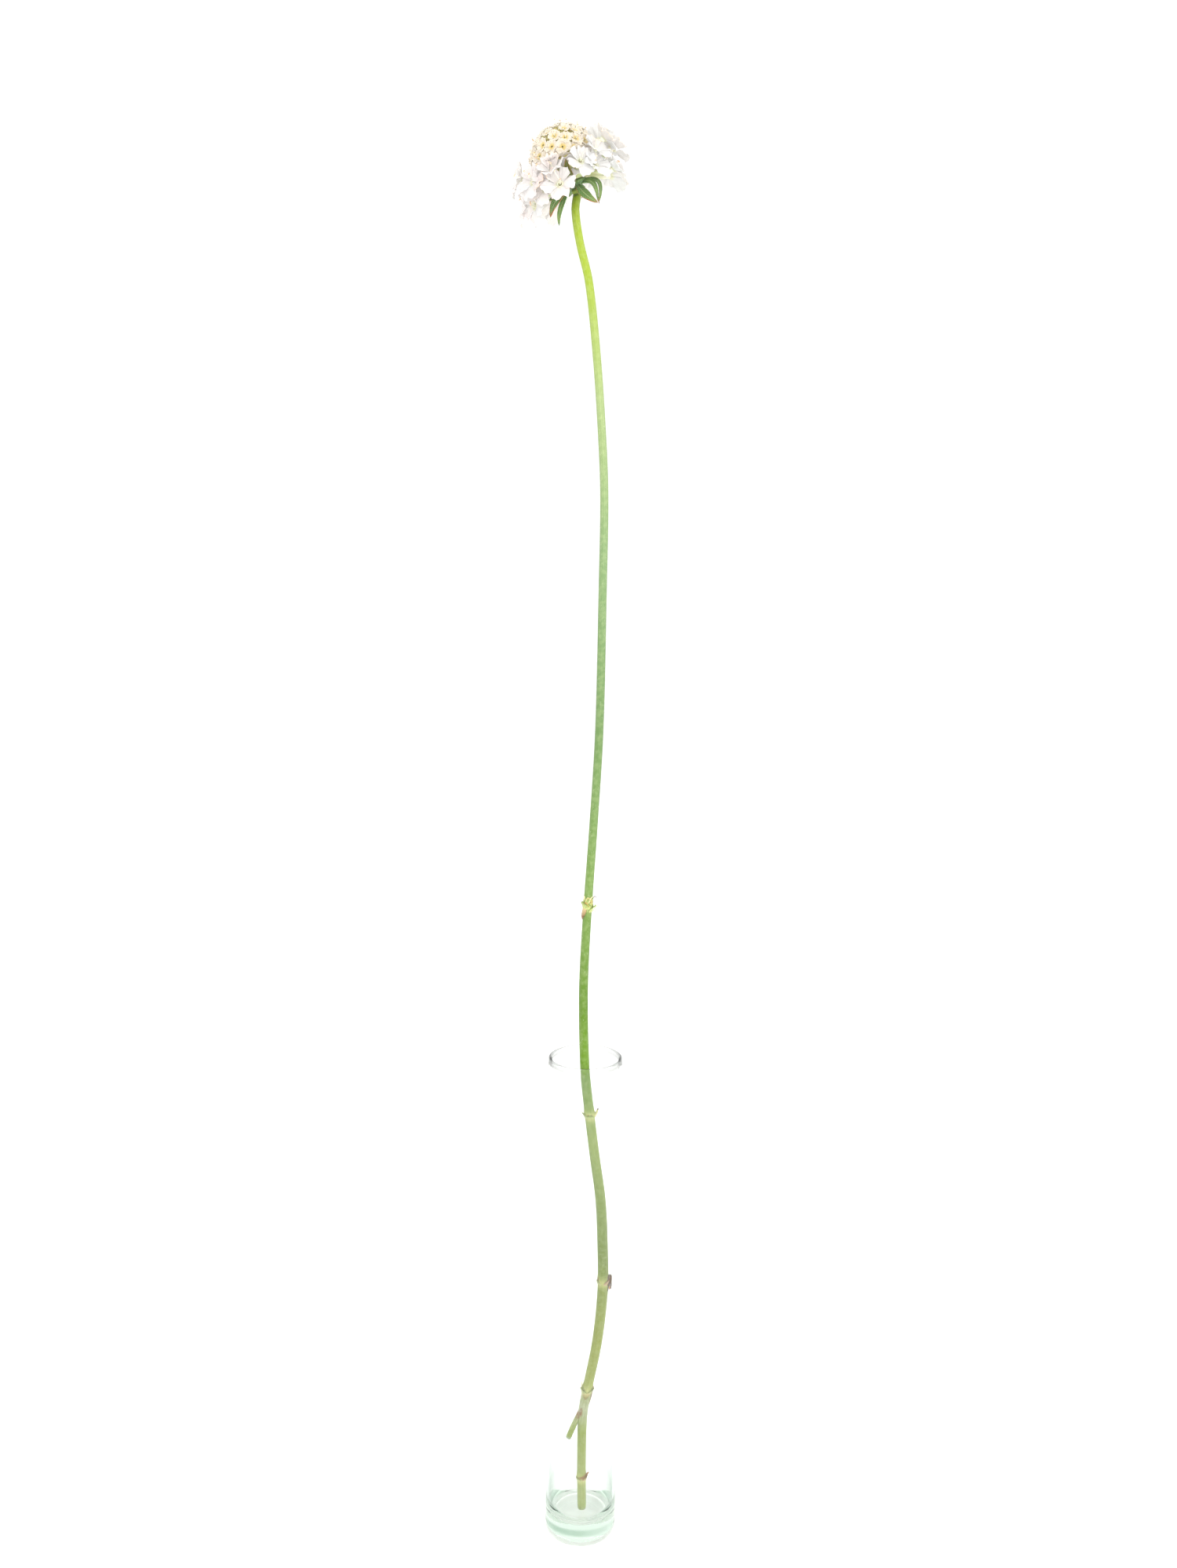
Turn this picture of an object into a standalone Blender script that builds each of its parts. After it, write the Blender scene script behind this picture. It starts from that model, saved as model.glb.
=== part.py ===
"""One white scabiosa on a long bare stem, standing in a tall clear glass vase.

Metres, +Z up. The origin is on the surface, under the middle of the vase's foot, and the front faces -Y.
The flower head has a frame of its own: its origin is the tip of the stem and its +Z is the head's axis.
"""

import math
import random

import bmesh
import bpy
from mathutils import Euler, Matrix, Vector

MM = 0.001

# The vase: a straight glass cylinder with a thick floor and a melted, rounded lip.
VASE_HEIGHT = 300 * MM
VASE_RADIUS = 21.5 * MM
WALL = 2.0 * MM
LIP_RADIUS = 1.5 * MM
LIP_BAND = 5.0 * MM
HEEL_RADIUS = 2.5 * MM
FLOOR = 11.0 * MM
FLOOR_CORNER = 7.9 * MM
VASE_SIDES = 40

# Touching pieces keep this gap.
GAP = 0.3 * MM

# The stem's centre line. Its cut end stands on the floor of the vase, tilted a little, and it leans on the
# front of the lip.
STEM_FOOT = FLOOR + GAP + 0.2 * MM
STEM_ROUTE = [
    Vector(point) * MM
    for point in (
        (0.9, 0.0, STEM_FOOT / MM),
        (0.4, -2.3, 45),
        (0.9, -4.5, 77),
        (3.4, -5.6, 94),
        (8.7, -7.6, 126),
        (11.4, -9.6, 160),
        (11.0, -11.3, 187),
        (9.4, -12.7, 218),
        (5.6, -14.0, 247),
        (2.1, -15.0, 276),
        (-0.3, -15.5, 300),
        (-1.5, -15.7, 345),
        (0.0, -16.0, 387),
        (3.1, -16.2, 441),
        (5.6, -15.3, 493),
        (6.5, -13.8, 570),
        (6.7, -12.2, 620),
        (4.7, -10.7, 657),
        (1.6, -9.3, 694),
        (-2.8, -8.2, 730),
        (-7.8, -7.5, 750),
        (-10.3, -7.2, 766),
        (-9.4, -6.55, 774.1),
    )
]
STEM_TIP = Vector((-10.6, -7.1, 777)) * MM
STEM_DIAMETERS = [(11, 5.3), (60, 5.5), (165, 6.0), (300, 5.4), (450, 4.7), (650, 4.5), (780, 4.3)]
STEM_STEP = 17 * MM

# Leaf joints up the stem: height, swelling, and the lengths of the left and right leaf bases.
STEM_JOINTS = [
    (34 * MM, 0.14, 0.4 * MM, 0.9 * MM),
    (95 * MM, 0.14, 1.2 * MM, 1.4 * MM),
    (167 * MM, 0.12, 0.9 * MM, 1.2 * MM),
    (272 * MM, 0.12, 1.4 * MM, 2.6 * MM),
    (396 * MM, 0.17, 1.2 * MM, 1.6 * MM),
]
JOINT_SPREAD = 2.6 * MM
LEAF_BASE_RADIUS = 1.3 * MM
LEAF_BASE_WAY = (0.15, 0.45)
SHOOT_ROOT = Vector((0.4, -4.6, 80)) * MM
SHOOT_TIP = Vector((-7.6, -4.4, 61)) * MM
SHOOT_RADIUS = 1.7 * MM

# The head leans to the left and a little to the front.
HEAD_LEAN_LEFT = math.radians(23)
HEAD_LEAN_FRONT = math.radians(10)

# Heights in the head frame, where the green cup, the ray disc and the dome sit on each other.
CUP_TOP = 3.0 * MM
CUP_RADIUS = 7.6 * MM
DISC_TOP = 12.0 * MM
DISC_RADIUS = 11.0 * MM
DOME_TOP = 28.0 * MM
DOME_RADIUS = 14.0 * MM
CORE_SIDES = 20

# A bowl keeps the ray florets, below and outside it, clear of the dome inside it.
BOWL_FLOOR_RADIUS = 9.0 * MM
BOWL_SLOPE = 0.42
BOWL_RADIUS = 19.3 * MM
BOWL_MARGIN = 0.7 * MM

# Petals and bracts are blades of this thickness.
BLADE = 0.65 * MM

# The bracts: bearing of the root from the front towards the right, then the bend and the tip in the head frame,
# and the width. Sizes are in millimetres.
BRACTS = [
    (25, (1.6, -12.1, -5.6), (7.3, -12.6, -11.6), 5.0),
    (59, (12.2, -6.9, 1.9), (7.9, -9.4, -10.6), 3.6),
    (87, (18.0, -0.8, 2.2), (8.6, -6.9, -11.1), 3.6),
    (104, (12.0, 3.0, 3.0), (9.2, 1.5, -11.3), 3.2),
    (138, (7.4, 8.2, 2.0), (2.4, 10.0, -5.0), 3.2),
    (172, (1.4, 10.1, 1.5), (-3.4, 13.0, -1.6), 3.4),
    (-150, (-5.5, 9.6, 1.5), (-11.0, 13.0, -0.8), 3.0),
    (-118, (-9.0, 4.8, 1.5), (-16.0, 6.0, -0.6), 2.8),
    (-47, (-14.1, -13.6, -1.6), (-18.1, -10.6, -8.9), 4.6),
    (-42, (-14.2, -13.0, -7.4), (-15.2, -8.5, -14.3), 2.8),
]
BRACT_FACING = Vector((0, -0.8, 0.35))

# One bract stands up at the front, between the florets.
UPRIGHT_BEARING = -5
UPRIGHT_KNEE = Vector((-2.8, -19.5, 1.0)) * MM
UPRIGHT_TIP = Vector((0.4, -20.0, 12.7)) * MM
UPRIGHT_WIDTH = 4.0 * MM

# The ray florets, from the front to the left and round: bearing, height and reach of the throat, tilt of the face
# in degrees, length of the longest lobe, and the height where the tube leaves the disc. Sizes are in millimetres.
# The outer ring has a gap at the front right, where the bracts show.
RAYS = [
    (-21, 4.0, 23.5, 45, 10.8, 5.5),
    (-72, 0.2, 25.6, 16, 11.2, 5.5),
    (-98, 3.0, 27.6, 36, 11.2, 5.5),
    (-146, -0.4, 22.4, 30, 11.8, 5.5),
    (-178, 5.6, 23.3, 41, 11.1, 5.5),
    (148, 4.9, 23.0, 39, 11.2, 5.5),
    (112, 0.4, 22.8, 22, 11.6, 5.5),
    (76, 1.6, 23.2, 26, 11.6, 5.5),
    (-27, 12.0, 20.2, 60, 8.4, 7.5),
    (-60, 11.0, 23.4, 42, 10.7, 7.5),
    (-99, 16.0, 25.4, 48, 11.0, 7.5),
    (-140, 11.0, 23.8, 46, 10.5, 7.5),
    (176, 15.0, 22.6, 50, 10.5, 7.5),
    (122, 18.5, 26.5, 34, 11.0, 7.5),
    (94, 11.5, 26.0, 40, 10.8, 7.5),
    (36, 6.0, 22.0, 35, 9.8, 6.5),
    (50, 13.0, 21.4, 42, 9.8, 7.5),
    (76, 16.5, 24.0, 30, 10.0, 7.5),
    (-41, 11.0, 20.6, 40, 7.6, 7.5),
    (17, 10.0, 21.1, 30, 9.2, 7.5),
    (-46, 5.0, 22.8, 36, 9.0, 6.0),
]
RAY_TWIST = math.radians(12)
RAY_TUBE_RADIUS = 1.5 * MM
THROAT_DEPTH = 1.8 * MM
RAY_STAMEN_LENGTH = 7.5 * MM

# The dome's florets follow the golden angle.
DOME_FLORETS = 52
DOME_EDGE = math.radians(90)
EYE_MIDDLE = 15.0 * MM
EYE_REACH = 16.6 * MM
EYE_RISE = 17.0 * MM
SMALLEST_FLORET = 2.4 * MM
LARGEST_FLORET = 4.1 * MM
FLORET_DEPTH = 0.9 * MM
FLORET_TUBE_RADIUS = 1.1 * MM
FLORET_LEAN = 0.16
GOLDEN_ANGLE = math.pi * (3 - math.sqrt(5))

# Every third floret has a stamen that stands out of its throat: a thread with a small anther at its end.
STAMEN_EVERY = 3
STAMEN_RADIUS = 0.35 * MM
ANTHER_RADIUS = 0.75 * MM
ANTHER_LENGTH = 1.2 * MM

SOLVER = "EXACT"
rng = random.Random(7)


def clear_scene():
    for obj in list(bpy.data.objects):
        bpy.data.objects.remove(obj, do_unlink=True)


def new_collection(name):
    collection = bpy.data.collections.new(name)
    bpy.context.scene.collection.children.link(collection)
    return collection


def new_object(name, mesh, collection):
    obj = bpy.data.objects.new(name, mesh)
    collection.objects.link(obj)
    return obj


def mesh_from(bm, name):
    mesh = bpy.data.meshes.new(name)
    bm.to_mesh(mesh)
    bm.free()
    return mesh


def paint(obj, colour, roughness, alpha=1.0):
    material = bpy.data.materials.new(obj.name)
    material.use_nodes = True
    shader = material.node_tree.nodes["Principled BSDF"]
    shader.inputs["Base Color"].default_value = (*colour, 1)
    shader.inputs["Roughness"].default_value = roughness
    shader.inputs["Metallic"].default_value = 0
    shader.inputs["Alpha"].default_value = alpha
    obj.data.materials.clear()
    obj.data.materials.append(material)


def arc(centre, radius, start, end, steps):
    """Points (x, z) on an arc, from one angle to another in degrees."""
    angles = (math.radians(start + (end - start) * i / steps) for i in range(steps + 1))
    return [(centre[0] + radius * math.cos(a), centre[1] + radius * math.sin(a)) for a in angles]


def turned(name, profile, sides, collection):
    """A solid of revolution. Its profile runs from the axis over the top, down outside and back."""
    bm = bmesh.new()
    verts = [bm.verts.new((x, 0, z)) for x, z in profile]
    for a, b in zip(verts, verts[1:]):
        bm.edges.new((a, b))
    obj = new_object(name, mesh_from(bm, name), collection)
    screw = obj.modifiers.new("turn", "SCREW")
    screw.steps = screw.render_steps = sides
    screw.use_merge_vertices = True
    screw.merge_threshold = 0.00001
    return obj


def apply_modifiers(obj):
    bpy.context.view_layer.update()
    graph = bpy.context.evaluated_depsgraph_get()
    mesh = bpy.data.meshes.new_from_object(obj.evaluated_get(graph))
    obj.modifiers.clear()
    obj.data = mesh


def drop_scraps(mesh):
    """Splits a mesh into triangles and keeps its largest body, of faces that share edges two by two."""
    bm = bmesh.new()
    bm.from_mesh(mesh)
    bmesh.ops.triangulate(bm, faces=bm.faces)
    left, bodies = set(bm.faces), []
    while left:
        body, rim = set(), [left.pop()]
        while rim:
            face = rim.pop()
            body.add(face)
            shared = [edge.link_faces for edge in face.edges if len(edge.link_faces) == 2]
            beside = {other for pair in shared for other in pair} & left
            left -= beside
            rim.extend(beside)
        bodies.append(body)
    largest = max(bodies, key=len)
    scraps = [face for body in bodies if body is not largest for face in body]
    bmesh.ops.delete(bm, geom=scraps, context="FACES")
    bm.to_mesh(mesh)
    bm.free()


def fuse(core, pieces):
    """Joins every piece in the collection to the core in one Boolean union, then removes the pieces."""
    union = core.modifiers.new("union", "BOOLEAN")
    union.operation = "UNION"
    union.operand_type = "COLLECTION"
    union.collection = pieces
    union.solver = SOLVER
    apply_modifiers(core)
    drop_scraps(core.data)
    for piece in list(pieces.objects):
        bpy.data.objects.remove(piece, do_unlink=True)
    bpy.data.collections.remove(pieces)


def cone_between(name, start, end, start_radius, end_radius, sides, collection):
    """A closed tapering rod with flat ends."""
    bm = bmesh.new()
    along = end - start
    bmesh.ops.create_cone(
        bm, cap_ends=True, segments=sides, radius1=start_radius, radius2=end_radius, depth=along.length
    )
    obj = new_object(name, mesh_from(bm, name), collection)
    turn = along.to_track_quat("Z", "Y").to_matrix().to_4x4()
    obj.matrix_world = Matrix.Translation((start + end) / 2) @ turn
    return obj


def blade(name, bm, collection):
    """Thickens an open sheet, split into triangles first so that both faces are alike."""
    bmesh.ops.triangulate(bm, faces=bm.faces, quad_method="FIXED")
    obj = new_object(name, mesh_from(bm, name), collection)
    solidify = obj.modifiers.new("thickness", "SOLIDIFY")
    solidify.thickness = BLADE
    solidify.offset = 0
    return obj


def spun_sheet(rings, segments, point_at):
    """A round sheet: a spoke spun about the middle, each point moved to point_at(share of radius, angle)."""
    bm = bmesh.new()
    spoke = [bm.verts.new((i / rings, 0, 0)) for i in range(rings + 1)]
    for a, b in zip(spoke, spoke[1:]):
        bm.edges.new((a, b))
    bmesh.ops.spin(
        bm, geom=bm.verts[:] + bm.edges[:], axis=(0, 0, 1), angle=math.tau, steps=segments, use_merge=True
    )
    bmesh.ops.remove_doubles(bm, verts=bm.verts, dist=1e-5)
    for vert in bm.verts:
        share, angle = vert.co.length, math.atan2(vert.co.y, vert.co.x)
        vert.co = point_at(share, angle)
    return bm


def lobes(angle):
    """1 in the middle of each of the five lobes and 0 in the notches, with the first lobe at angle 0."""
    return math.sqrt(abs(math.cos(2.5 * angle)))


def bearing(degrees):
    """Unit vector in the head's level plane: 0 faces the front and 90 the right."""
    angle = math.radians(degrees)
    return Vector((math.sin(angle), -math.cos(angle), 0))


def bowl_height(radius):
    """Height of the bowl between the ray florets and the dome, at a distance from the head's axis."""
    return DISC_TOP + GAP / 2 + BOWL_SLOPE * max(0, radius - BOWL_FLOOR_RADIUS)


def bend_clear(bm, place, inside):
    """Moves the points of a sheet placed in the head frame to their own side of the bowl."""
    back = place.inverted()
    for vert in bm.verts:
        point = place @ vert.co
        radius = math.hypot(point.x, point.y)
        wanted, height = radius, point.z
        if inside:
            wanted = min(radius, BOWL_RADIUS - BOWL_MARGIN)
            height = max(height, bowl_height(wanted) + BOWL_MARGIN)
        elif radius < BOWL_RADIUS + BOWL_MARGIN and height > bowl_height(radius) - BOWL_MARGIN:
            wanted = BOWL_RADIUS + BOWL_MARGIN
        vert.co = back @ Vector((point.x * wanted / radius, point.y * wanted / radius, height))


def make_vase(collection):
    inner = VASE_RADIUS - WALL
    lip_middle = (VASE_RADIUS - LIP_RADIUS, VASE_HEIGHT - LIP_RADIUS)
    profile = [(0, FLOOR)]
    profile += arc((inner - FLOOR_CORNER, FLOOR + FLOOR_CORNER), FLOOR_CORNER, -90, 0, 5)
    profile += [(inner, VASE_HEIGHT - LIP_BAND)]
    profile += arc(lip_middle, LIP_RADIUS, 200, 0, 7)
    profile += arc((VASE_RADIUS - HEEL_RADIUS, HEEL_RADIUS), HEEL_RADIUS, 0, -90, 4)
    profile += [(0, 0)]
    vase = turned("vase", profile, VASE_SIDES, collection)
    paint(vase, (0.86, 0.95, 0.90), 0.05, alpha=0.35)
    return vase


def stem_point(height):
    """The stem's centre at a height, on a smooth cubic through the route's points."""
    last = len(STEM_ROUTE) - 2
    i = min(last, max(0, sum(point.z <= height for point in STEM_ROUTE) - 1))

    def slope(k):
        before, after = STEM_ROUTE[max(0, k - 1)], STEM_ROUTE[min(last + 1, k + 1)]
        return (after - before) / (after.z - before.z)

    low, high = STEM_ROUTE[i], STEM_ROUTE[i + 1]
    span = high.z - low.z
    t = (height - low.z) / span
    return (
        low * (2 * t**3 - 3 * t**2 + 1)
        + slope(i) * span * (t**3 - 2 * t**2 + t)
        + high * (3 * t**2 - 2 * t**3)
        + slope(i + 1) * span * (t**3 - t**2)
    )


def stem_radius(height):
    """Half the thickness at a height: a slow taper, swollen at each leaf joint."""
    for (low, wide), (high, narrow) in zip(STEM_DIAMETERS, STEM_DIAMETERS[1:]):
        if height / MM <= high:
            break
    plain = (wide + (narrow - wide) * (height / MM - low) / (high - low)) * MM / 2
    swelling = 0
    for joint, size, _, _ in STEM_JOINTS:
        swelling += size * math.exp(-(((height - joint) / JOINT_SPREAD) ** 2))
    return plain * (1 + swelling)


def make_stem(collection, head):
    """The stem as one tube, with a leaf base on both sides of each joint and the stub of a cut side shoot."""
    top = STEM_ROUTE[-1].z
    steps = round((top - STEM_FOOT) / STEM_STEP)
    heights = {round(STEM_FOOT + (top - STEM_FOOT) * i / steps, 5) for i in range(steps + 1)}
    for joint, _, _, _ in STEM_JOINTS:
        heights -= {height for height in heights if abs(height - joint) < 2 * JOINT_SPREAD}
        heights |= {round(joint + offset * JOINT_SPREAD, 5) for offset in (-2, -1, 0, 1, 2)}

    curve = bpy.data.curves.new("stem", "CURVE")
    curve.dimensions = "3D"
    curve.bevel_depth = 1
    curve.bevel_resolution = 2
    curve.use_fill_caps = True
    spline = curve.splines.new("POLY")
    tip = STEM_TIP - head.to_3x3() @ Vector((0, 0, GAP))
    centres = [stem_point(height) for height in sorted(heights)] + [tip]
    spline.points.add(len(centres) - 1)
    for point, centre in zip(spline.points, centres):
        point.co = (*centre, 1)
        point.radius = stem_radius(centre.z)
    line = new_object("stem_line", curve, collection)
    bpy.context.view_layer.update()
    graph = bpy.context.evaluated_depsgraph_get()
    mesh = bpy.data.meshes.new_from_object(line.evaluated_get(graph))
    bm = bmesh.new()
    bm.from_mesh(mesh)
    bmesh.ops.remove_doubles(bm, verts=bm.verts, dist=1e-6)
    bm.to_mesh(mesh)
    bm.free()
    stem = new_object("stem", mesh, collection)
    bpy.data.objects.remove(line, do_unlink=True)

    pieces = new_collection("stem_pieces")
    cone_between("side_shoot", SHOOT_ROOT, SHOOT_TIP, SHOOT_RADIUS, SHOOT_RADIUS, 8, pieces)
    for joint, _, left, right in STEM_JOINTS:
        for side, length in ((-1, left), (1, right)):
            root = stem_point(joint)
            out = Vector((side, *LEAF_BASE_WAY)).normalized()
            tip = root + out * (stem_radius(joint) + length)
            cone_between("leaf_base", root, tip, LEAF_BASE_RADIUS, 0.4 * LEAF_BASE_RADIUS, 6, pieces)
    fuse(stem, pieces)
    paint(stem, (0.42, 0.56, 0.18), 0.5)
    return stem


def bract_sheet(root, knee, tip, width, up):
    """A lance-shaped leaf along a curve from root by way of knee to tip, creased along its middle."""
    steps = 6
    bm = bmesh.new()
    rows = []
    for i in range(steps + 1):
        t = i / steps
        centre = root * (1 - t) ** 2 + knee * (2 * t * (1 - t)) + tip * t**2
        along = ((knee - root) * (1 - t) + (tip - knee) * t).normalized()
        across = along.cross(up).normalized()
        half = width / 2 * (0.45 + math.sin(math.pi * t**0.8)) / 1.45 * (1 - 0.4 * t**4)
        fold = across.cross(along) * (0.18 * half)
        rows.append([bm.verts.new(centre + across * (half * side) + fold * abs(side)) for side in (-1, 0, 1)])
    for low, high in zip(rows, rows[1:]):
        for a in (0, 1):
            bm.faces.new((low[a], low[a + 1], high[a + 1], high[a]))
    return bm


def make_bracts(collection, head):
    """The green cup under the flower with its ring of bracts, most of them hanging."""
    profile = [(0, CUP_TOP), (CUP_RADIUS, CUP_TOP), (CUP_RADIUS, CUP_TOP - 0.8 * MM)]
    profile += [(0.66 * CUP_RADIUS, 0.9 * MM), (2.6 * MM, 0), (0, 0)]
    cup = turned("bracts", profile, CORE_SIDES, collection)
    cup.matrix_world = head
    pieces = new_collection("bract_pieces")
    for degrees, knee, tip, width in BRACTS:
        way = bearing(degrees)
        root = way * (0.45 * CUP_RADIUS) + Vector((0, 0, 0.45 * CUP_TOP))
        sheet = bract_sheet(root, Vector(knee) * MM, Vector(tip) * MM, width * MM, way + BRACT_FACING)
        blade("bract", sheet, pieces).matrix_world = head
    way = bearing(UPRIGHT_BEARING)
    root = way * (0.7 * CUP_RADIUS) + Vector((0, 0, 0.5 * CUP_TOP))
    sheet = bract_sheet(root, UPRIGHT_KNEE, UPRIGHT_TIP, UPRIGHT_WIDTH, way)
    blade("bract", sheet, pieces).matrix_world = head
    fuse(cup, pieces)
    paint(cup, (0.10, 0.23, 0.06), 0.55)
    return cup


def ray_sheet(lobe):
    """The spread face of one ray floret, five-lobed, with its longest lobe hanging down along -Y."""

    def point_at(share, angle):
        length = lobe * (0.84 + 0.16 * math.cos(angle))
        radius = share * length * (0.64 + 0.36 * lobes(angle))
        bell = -THROAT_DEPTH * (1 - share) ** 2
        bend = radius * share * (0.14 - 0.26 * math.cos(angle))
        ruffle = 0.5 * MM * share * math.sin(5 * angle)
        return Vector((radius * math.sin(angle), -radius * math.cos(angle), bell + bend + ruffle))

    return spun_sheet(2, 20, point_at)


def facing(degrees, tilt, twist):
    """A frame whose +Z faces out along a bearing, raised by tilt, and whose +Y is up, then twisted."""
    way = bearing(degrees)
    normal = way * math.cos(tilt) + Vector((0, 0, math.sin(tilt)))
    up = Vector((0, 0, math.cos(tilt))) - way * math.sin(tilt)
    frame = Matrix((up.cross(normal), up, normal)).transposed().to_4x4()
    return frame @ Matrix.Rotation(twist, 4, "Y")


def add_stamen(foot, way, length, collection, head):
    """A three-sided thread with a tapering anther over its tip."""
    name = "stamen"
    tip = foot + way * length
    thread = cone_between(name, foot, tip, STAMEN_RADIUS, STAMEN_RADIUS, 3, collection)
    half = way * (ANTHER_LENGTH / 2)
    anther = cone_between(name, tip - half, tip + half, ANTHER_RADIUS, 0.4 * ANTHER_RADIUS, 4, collection)
    for obj in (thread, anther):
        obj.matrix_world = head @ obj.matrix_world


def make_rays(collection, head):
    """The white outer florets, on the thick disc that carries them."""
    low, high = CUP_TOP + GAP, DISC_TOP
    profile = [(0, high), (0.75 * DISC_RADIUS, high), (DISC_RADIUS, high - 2.5 * MM)]
    profile += [(DISC_RADIUS, low + 2.0 * MM), (0.75 * DISC_RADIUS, low), (0, low)]
    core = turned("ray_florets", profile, CORE_SIDES, collection)
    core.matrix_world = head
    pieces = new_collection("ray_pieces")
    for number, (degrees, height, reach, tilt, lobe, root_height) in enumerate(RAYS):
        way = bearing(degrees)
        eye = (way * reach + Vector((0, 0, height))) * MM
        turn = facing(degrees, math.radians(tilt), RAY_TWIST)
        place = Matrix.Translation(eye) @ turn
        bm = ray_sheet(lobe * MM)
        bend_clear(bm, place, inside=False)
        blade("ray", bm, pieces).matrix_world = head @ place
        root = way * (DISC_RADIUS - 2.5 * MM) + Vector((0, 0, root_height * MM))
        throat = eye - turn.to_3x3() @ Vector((0, 0, THROAT_DEPTH))
        tube = cone_between("tube", root, throat, 0.7 * RAY_TUBE_RADIUS, RAY_TUBE_RADIUS, 5, pieces)
        tube.matrix_world = head @ tube.matrix_world
        if number % STAMEN_EVERY == 0:
            out = (turn.to_3x3() @ Vector((rng.uniform(-0.3, 0.3), 0.35, 1))).normalized()
            add_stamen(throat, out, RAY_STAMEN_LENGTH, pieces, head)
    fuse(core, pieces)
    paint(core, (0.90, 0.88, 0.86), 0.6)
    return core


def dome_sheet(size):
    """The cupped face of one small dome floret."""

    def point_at(share, angle):
        radius = share * size * (0.70 + 0.30 * lobes(angle))
        height = share * 0.40 * radius - FLORET_DEPTH
        return Vector((radius * math.cos(angle), radius * math.sin(angle), height))

    return spun_sheet(1, 10, point_at)


def make_dome(collection, head):
    """The cream pincushion of small florets over its core, with stamens standing out."""
    low = DISC_TOP + GAP
    middle = low + 3.2 * MM
    profile = [
        (DOME_RADIUS * math.sin(math.radians(a)), middle + (DOME_TOP - middle) * math.cos(math.radians(a)))
        for a in (0, 20, 40, 60, 78)
    ]
    profile += [(DOME_RADIUS, bowl_height(DOME_RADIUS) + GAP), (BOWL_FLOOR_RADIUS, low), (0, low)]
    core = turned("dome_florets", profile, CORE_SIDES, collection)
    core.matrix_world = head
    pieces = new_collection("dome_pieces")
    for k in range(DOME_FLORETS):
        share = math.sqrt((k + 0.5) / DOME_FLORETS)
        polar, turn = DOME_EDGE * share, GOLDEN_ANGLE * k
        out = Euler((0, polar, turn)).to_matrix() @ Vector((0, 0, 1))
        sway = rng.uniform(-FLORET_LEAN, FLORET_LEAN)
        nod = rng.uniform(-FLORET_LEAN, FLORET_LEAN)
        lean = Euler((sway, polar + nod, turn)).to_matrix()
        eye = Vector((out.x * EYE_REACH, out.y * EYE_REACH, EYE_MIDDLE + out.z * EYE_RISE))
        size = SMALLEST_FLORET + (LARGEST_FLORET - SMALLEST_FLORET) * share
        place = Matrix.Translation(eye) @ lean.to_4x4()
        bm = dome_sheet(size)
        bend_clear(bm, place, inside=True)
        blade("floret", bm, pieces).matrix_world = head @ place
        throat = eye - lean @ Vector((0, 0, FLORET_DEPTH))
        root = Vector((0, 0, EYE_MIDDLE)) + out * (DOME_RADIUS - 3 * MM)
        tube = cone_between("tube", root, throat, 0.7 * FLORET_TUBE_RADIUS, FLORET_TUBE_RADIUS, 4, pieces)
        tube.matrix_world = head @ tube.matrix_world
        if k % STAMEN_EVERY == 0 and share < 0.8:
            way = (lean @ Vector((rng.uniform(-0.3, 0.3), rng.uniform(-0.3, 0.3), 1))).normalized()
            add_stamen(throat, way, rng.uniform(3.6, 5.0) * MM, pieces, head)
    fuse(core, pieces)
    paint(core, (0.88, 0.82, 0.66), 0.6)
    return core


def main():
    clear_scene()
    collection = new_collection("scabiosa_in_vase")
    make_vase(collection)
    lean = Euler((HEAD_LEAN_FRONT, -HEAD_LEAN_LEFT, 0)).to_matrix().to_4x4()
    head = Matrix.Translation(STEM_TIP) @ lean
    make_stem(collection, head)
    make_bracts(collection, head)
    make_rays(collection, head)
    make_dome(collection, head)
    for obj in collection.objects:
        obj.data.shade_smooth()


main()
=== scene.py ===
# %% [markdown]
# A white scabiosa in a tall glass
#
# The object is one cut scabiosa that stands in a slim glass cylinder and leans on its lip. A plain model
# of it already has the true sizes: five closed solids for the vase, the stem, the green bracts, the white
# outer florets and the cream dome. Here each solid is swapped for a finer piece of the same form, with a
# finish of its own. The plain model is loaded first, as a fixed frame. We measure it, and never move it.

# %% Load the frame and measure it
import math
import random

import bmesh
import bpy
import numpy as np
from mathutils import Euler, Matrix, Vector


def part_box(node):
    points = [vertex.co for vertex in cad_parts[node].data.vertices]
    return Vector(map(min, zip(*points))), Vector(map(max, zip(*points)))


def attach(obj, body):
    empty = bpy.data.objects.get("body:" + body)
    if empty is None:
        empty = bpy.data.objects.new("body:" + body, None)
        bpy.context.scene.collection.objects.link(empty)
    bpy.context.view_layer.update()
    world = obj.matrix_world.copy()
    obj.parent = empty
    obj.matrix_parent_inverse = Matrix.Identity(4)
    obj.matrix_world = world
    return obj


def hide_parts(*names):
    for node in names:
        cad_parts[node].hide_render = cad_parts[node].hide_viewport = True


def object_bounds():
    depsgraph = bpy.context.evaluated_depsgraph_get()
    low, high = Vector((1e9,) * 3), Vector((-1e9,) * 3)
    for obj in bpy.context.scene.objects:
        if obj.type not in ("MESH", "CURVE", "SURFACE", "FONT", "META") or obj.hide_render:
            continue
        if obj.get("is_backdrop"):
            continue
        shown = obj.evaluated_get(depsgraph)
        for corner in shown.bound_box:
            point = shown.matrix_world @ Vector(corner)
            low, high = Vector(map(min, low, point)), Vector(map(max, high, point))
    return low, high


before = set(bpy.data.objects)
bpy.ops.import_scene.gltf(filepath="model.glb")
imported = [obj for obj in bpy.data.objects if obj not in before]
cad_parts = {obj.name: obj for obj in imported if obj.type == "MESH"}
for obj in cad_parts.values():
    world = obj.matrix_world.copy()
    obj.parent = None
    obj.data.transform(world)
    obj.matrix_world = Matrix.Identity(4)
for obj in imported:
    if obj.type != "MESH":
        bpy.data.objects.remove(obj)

MM = 0.001
cad_low, cad_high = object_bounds()
vase_low, vase_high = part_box("vase")
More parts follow.
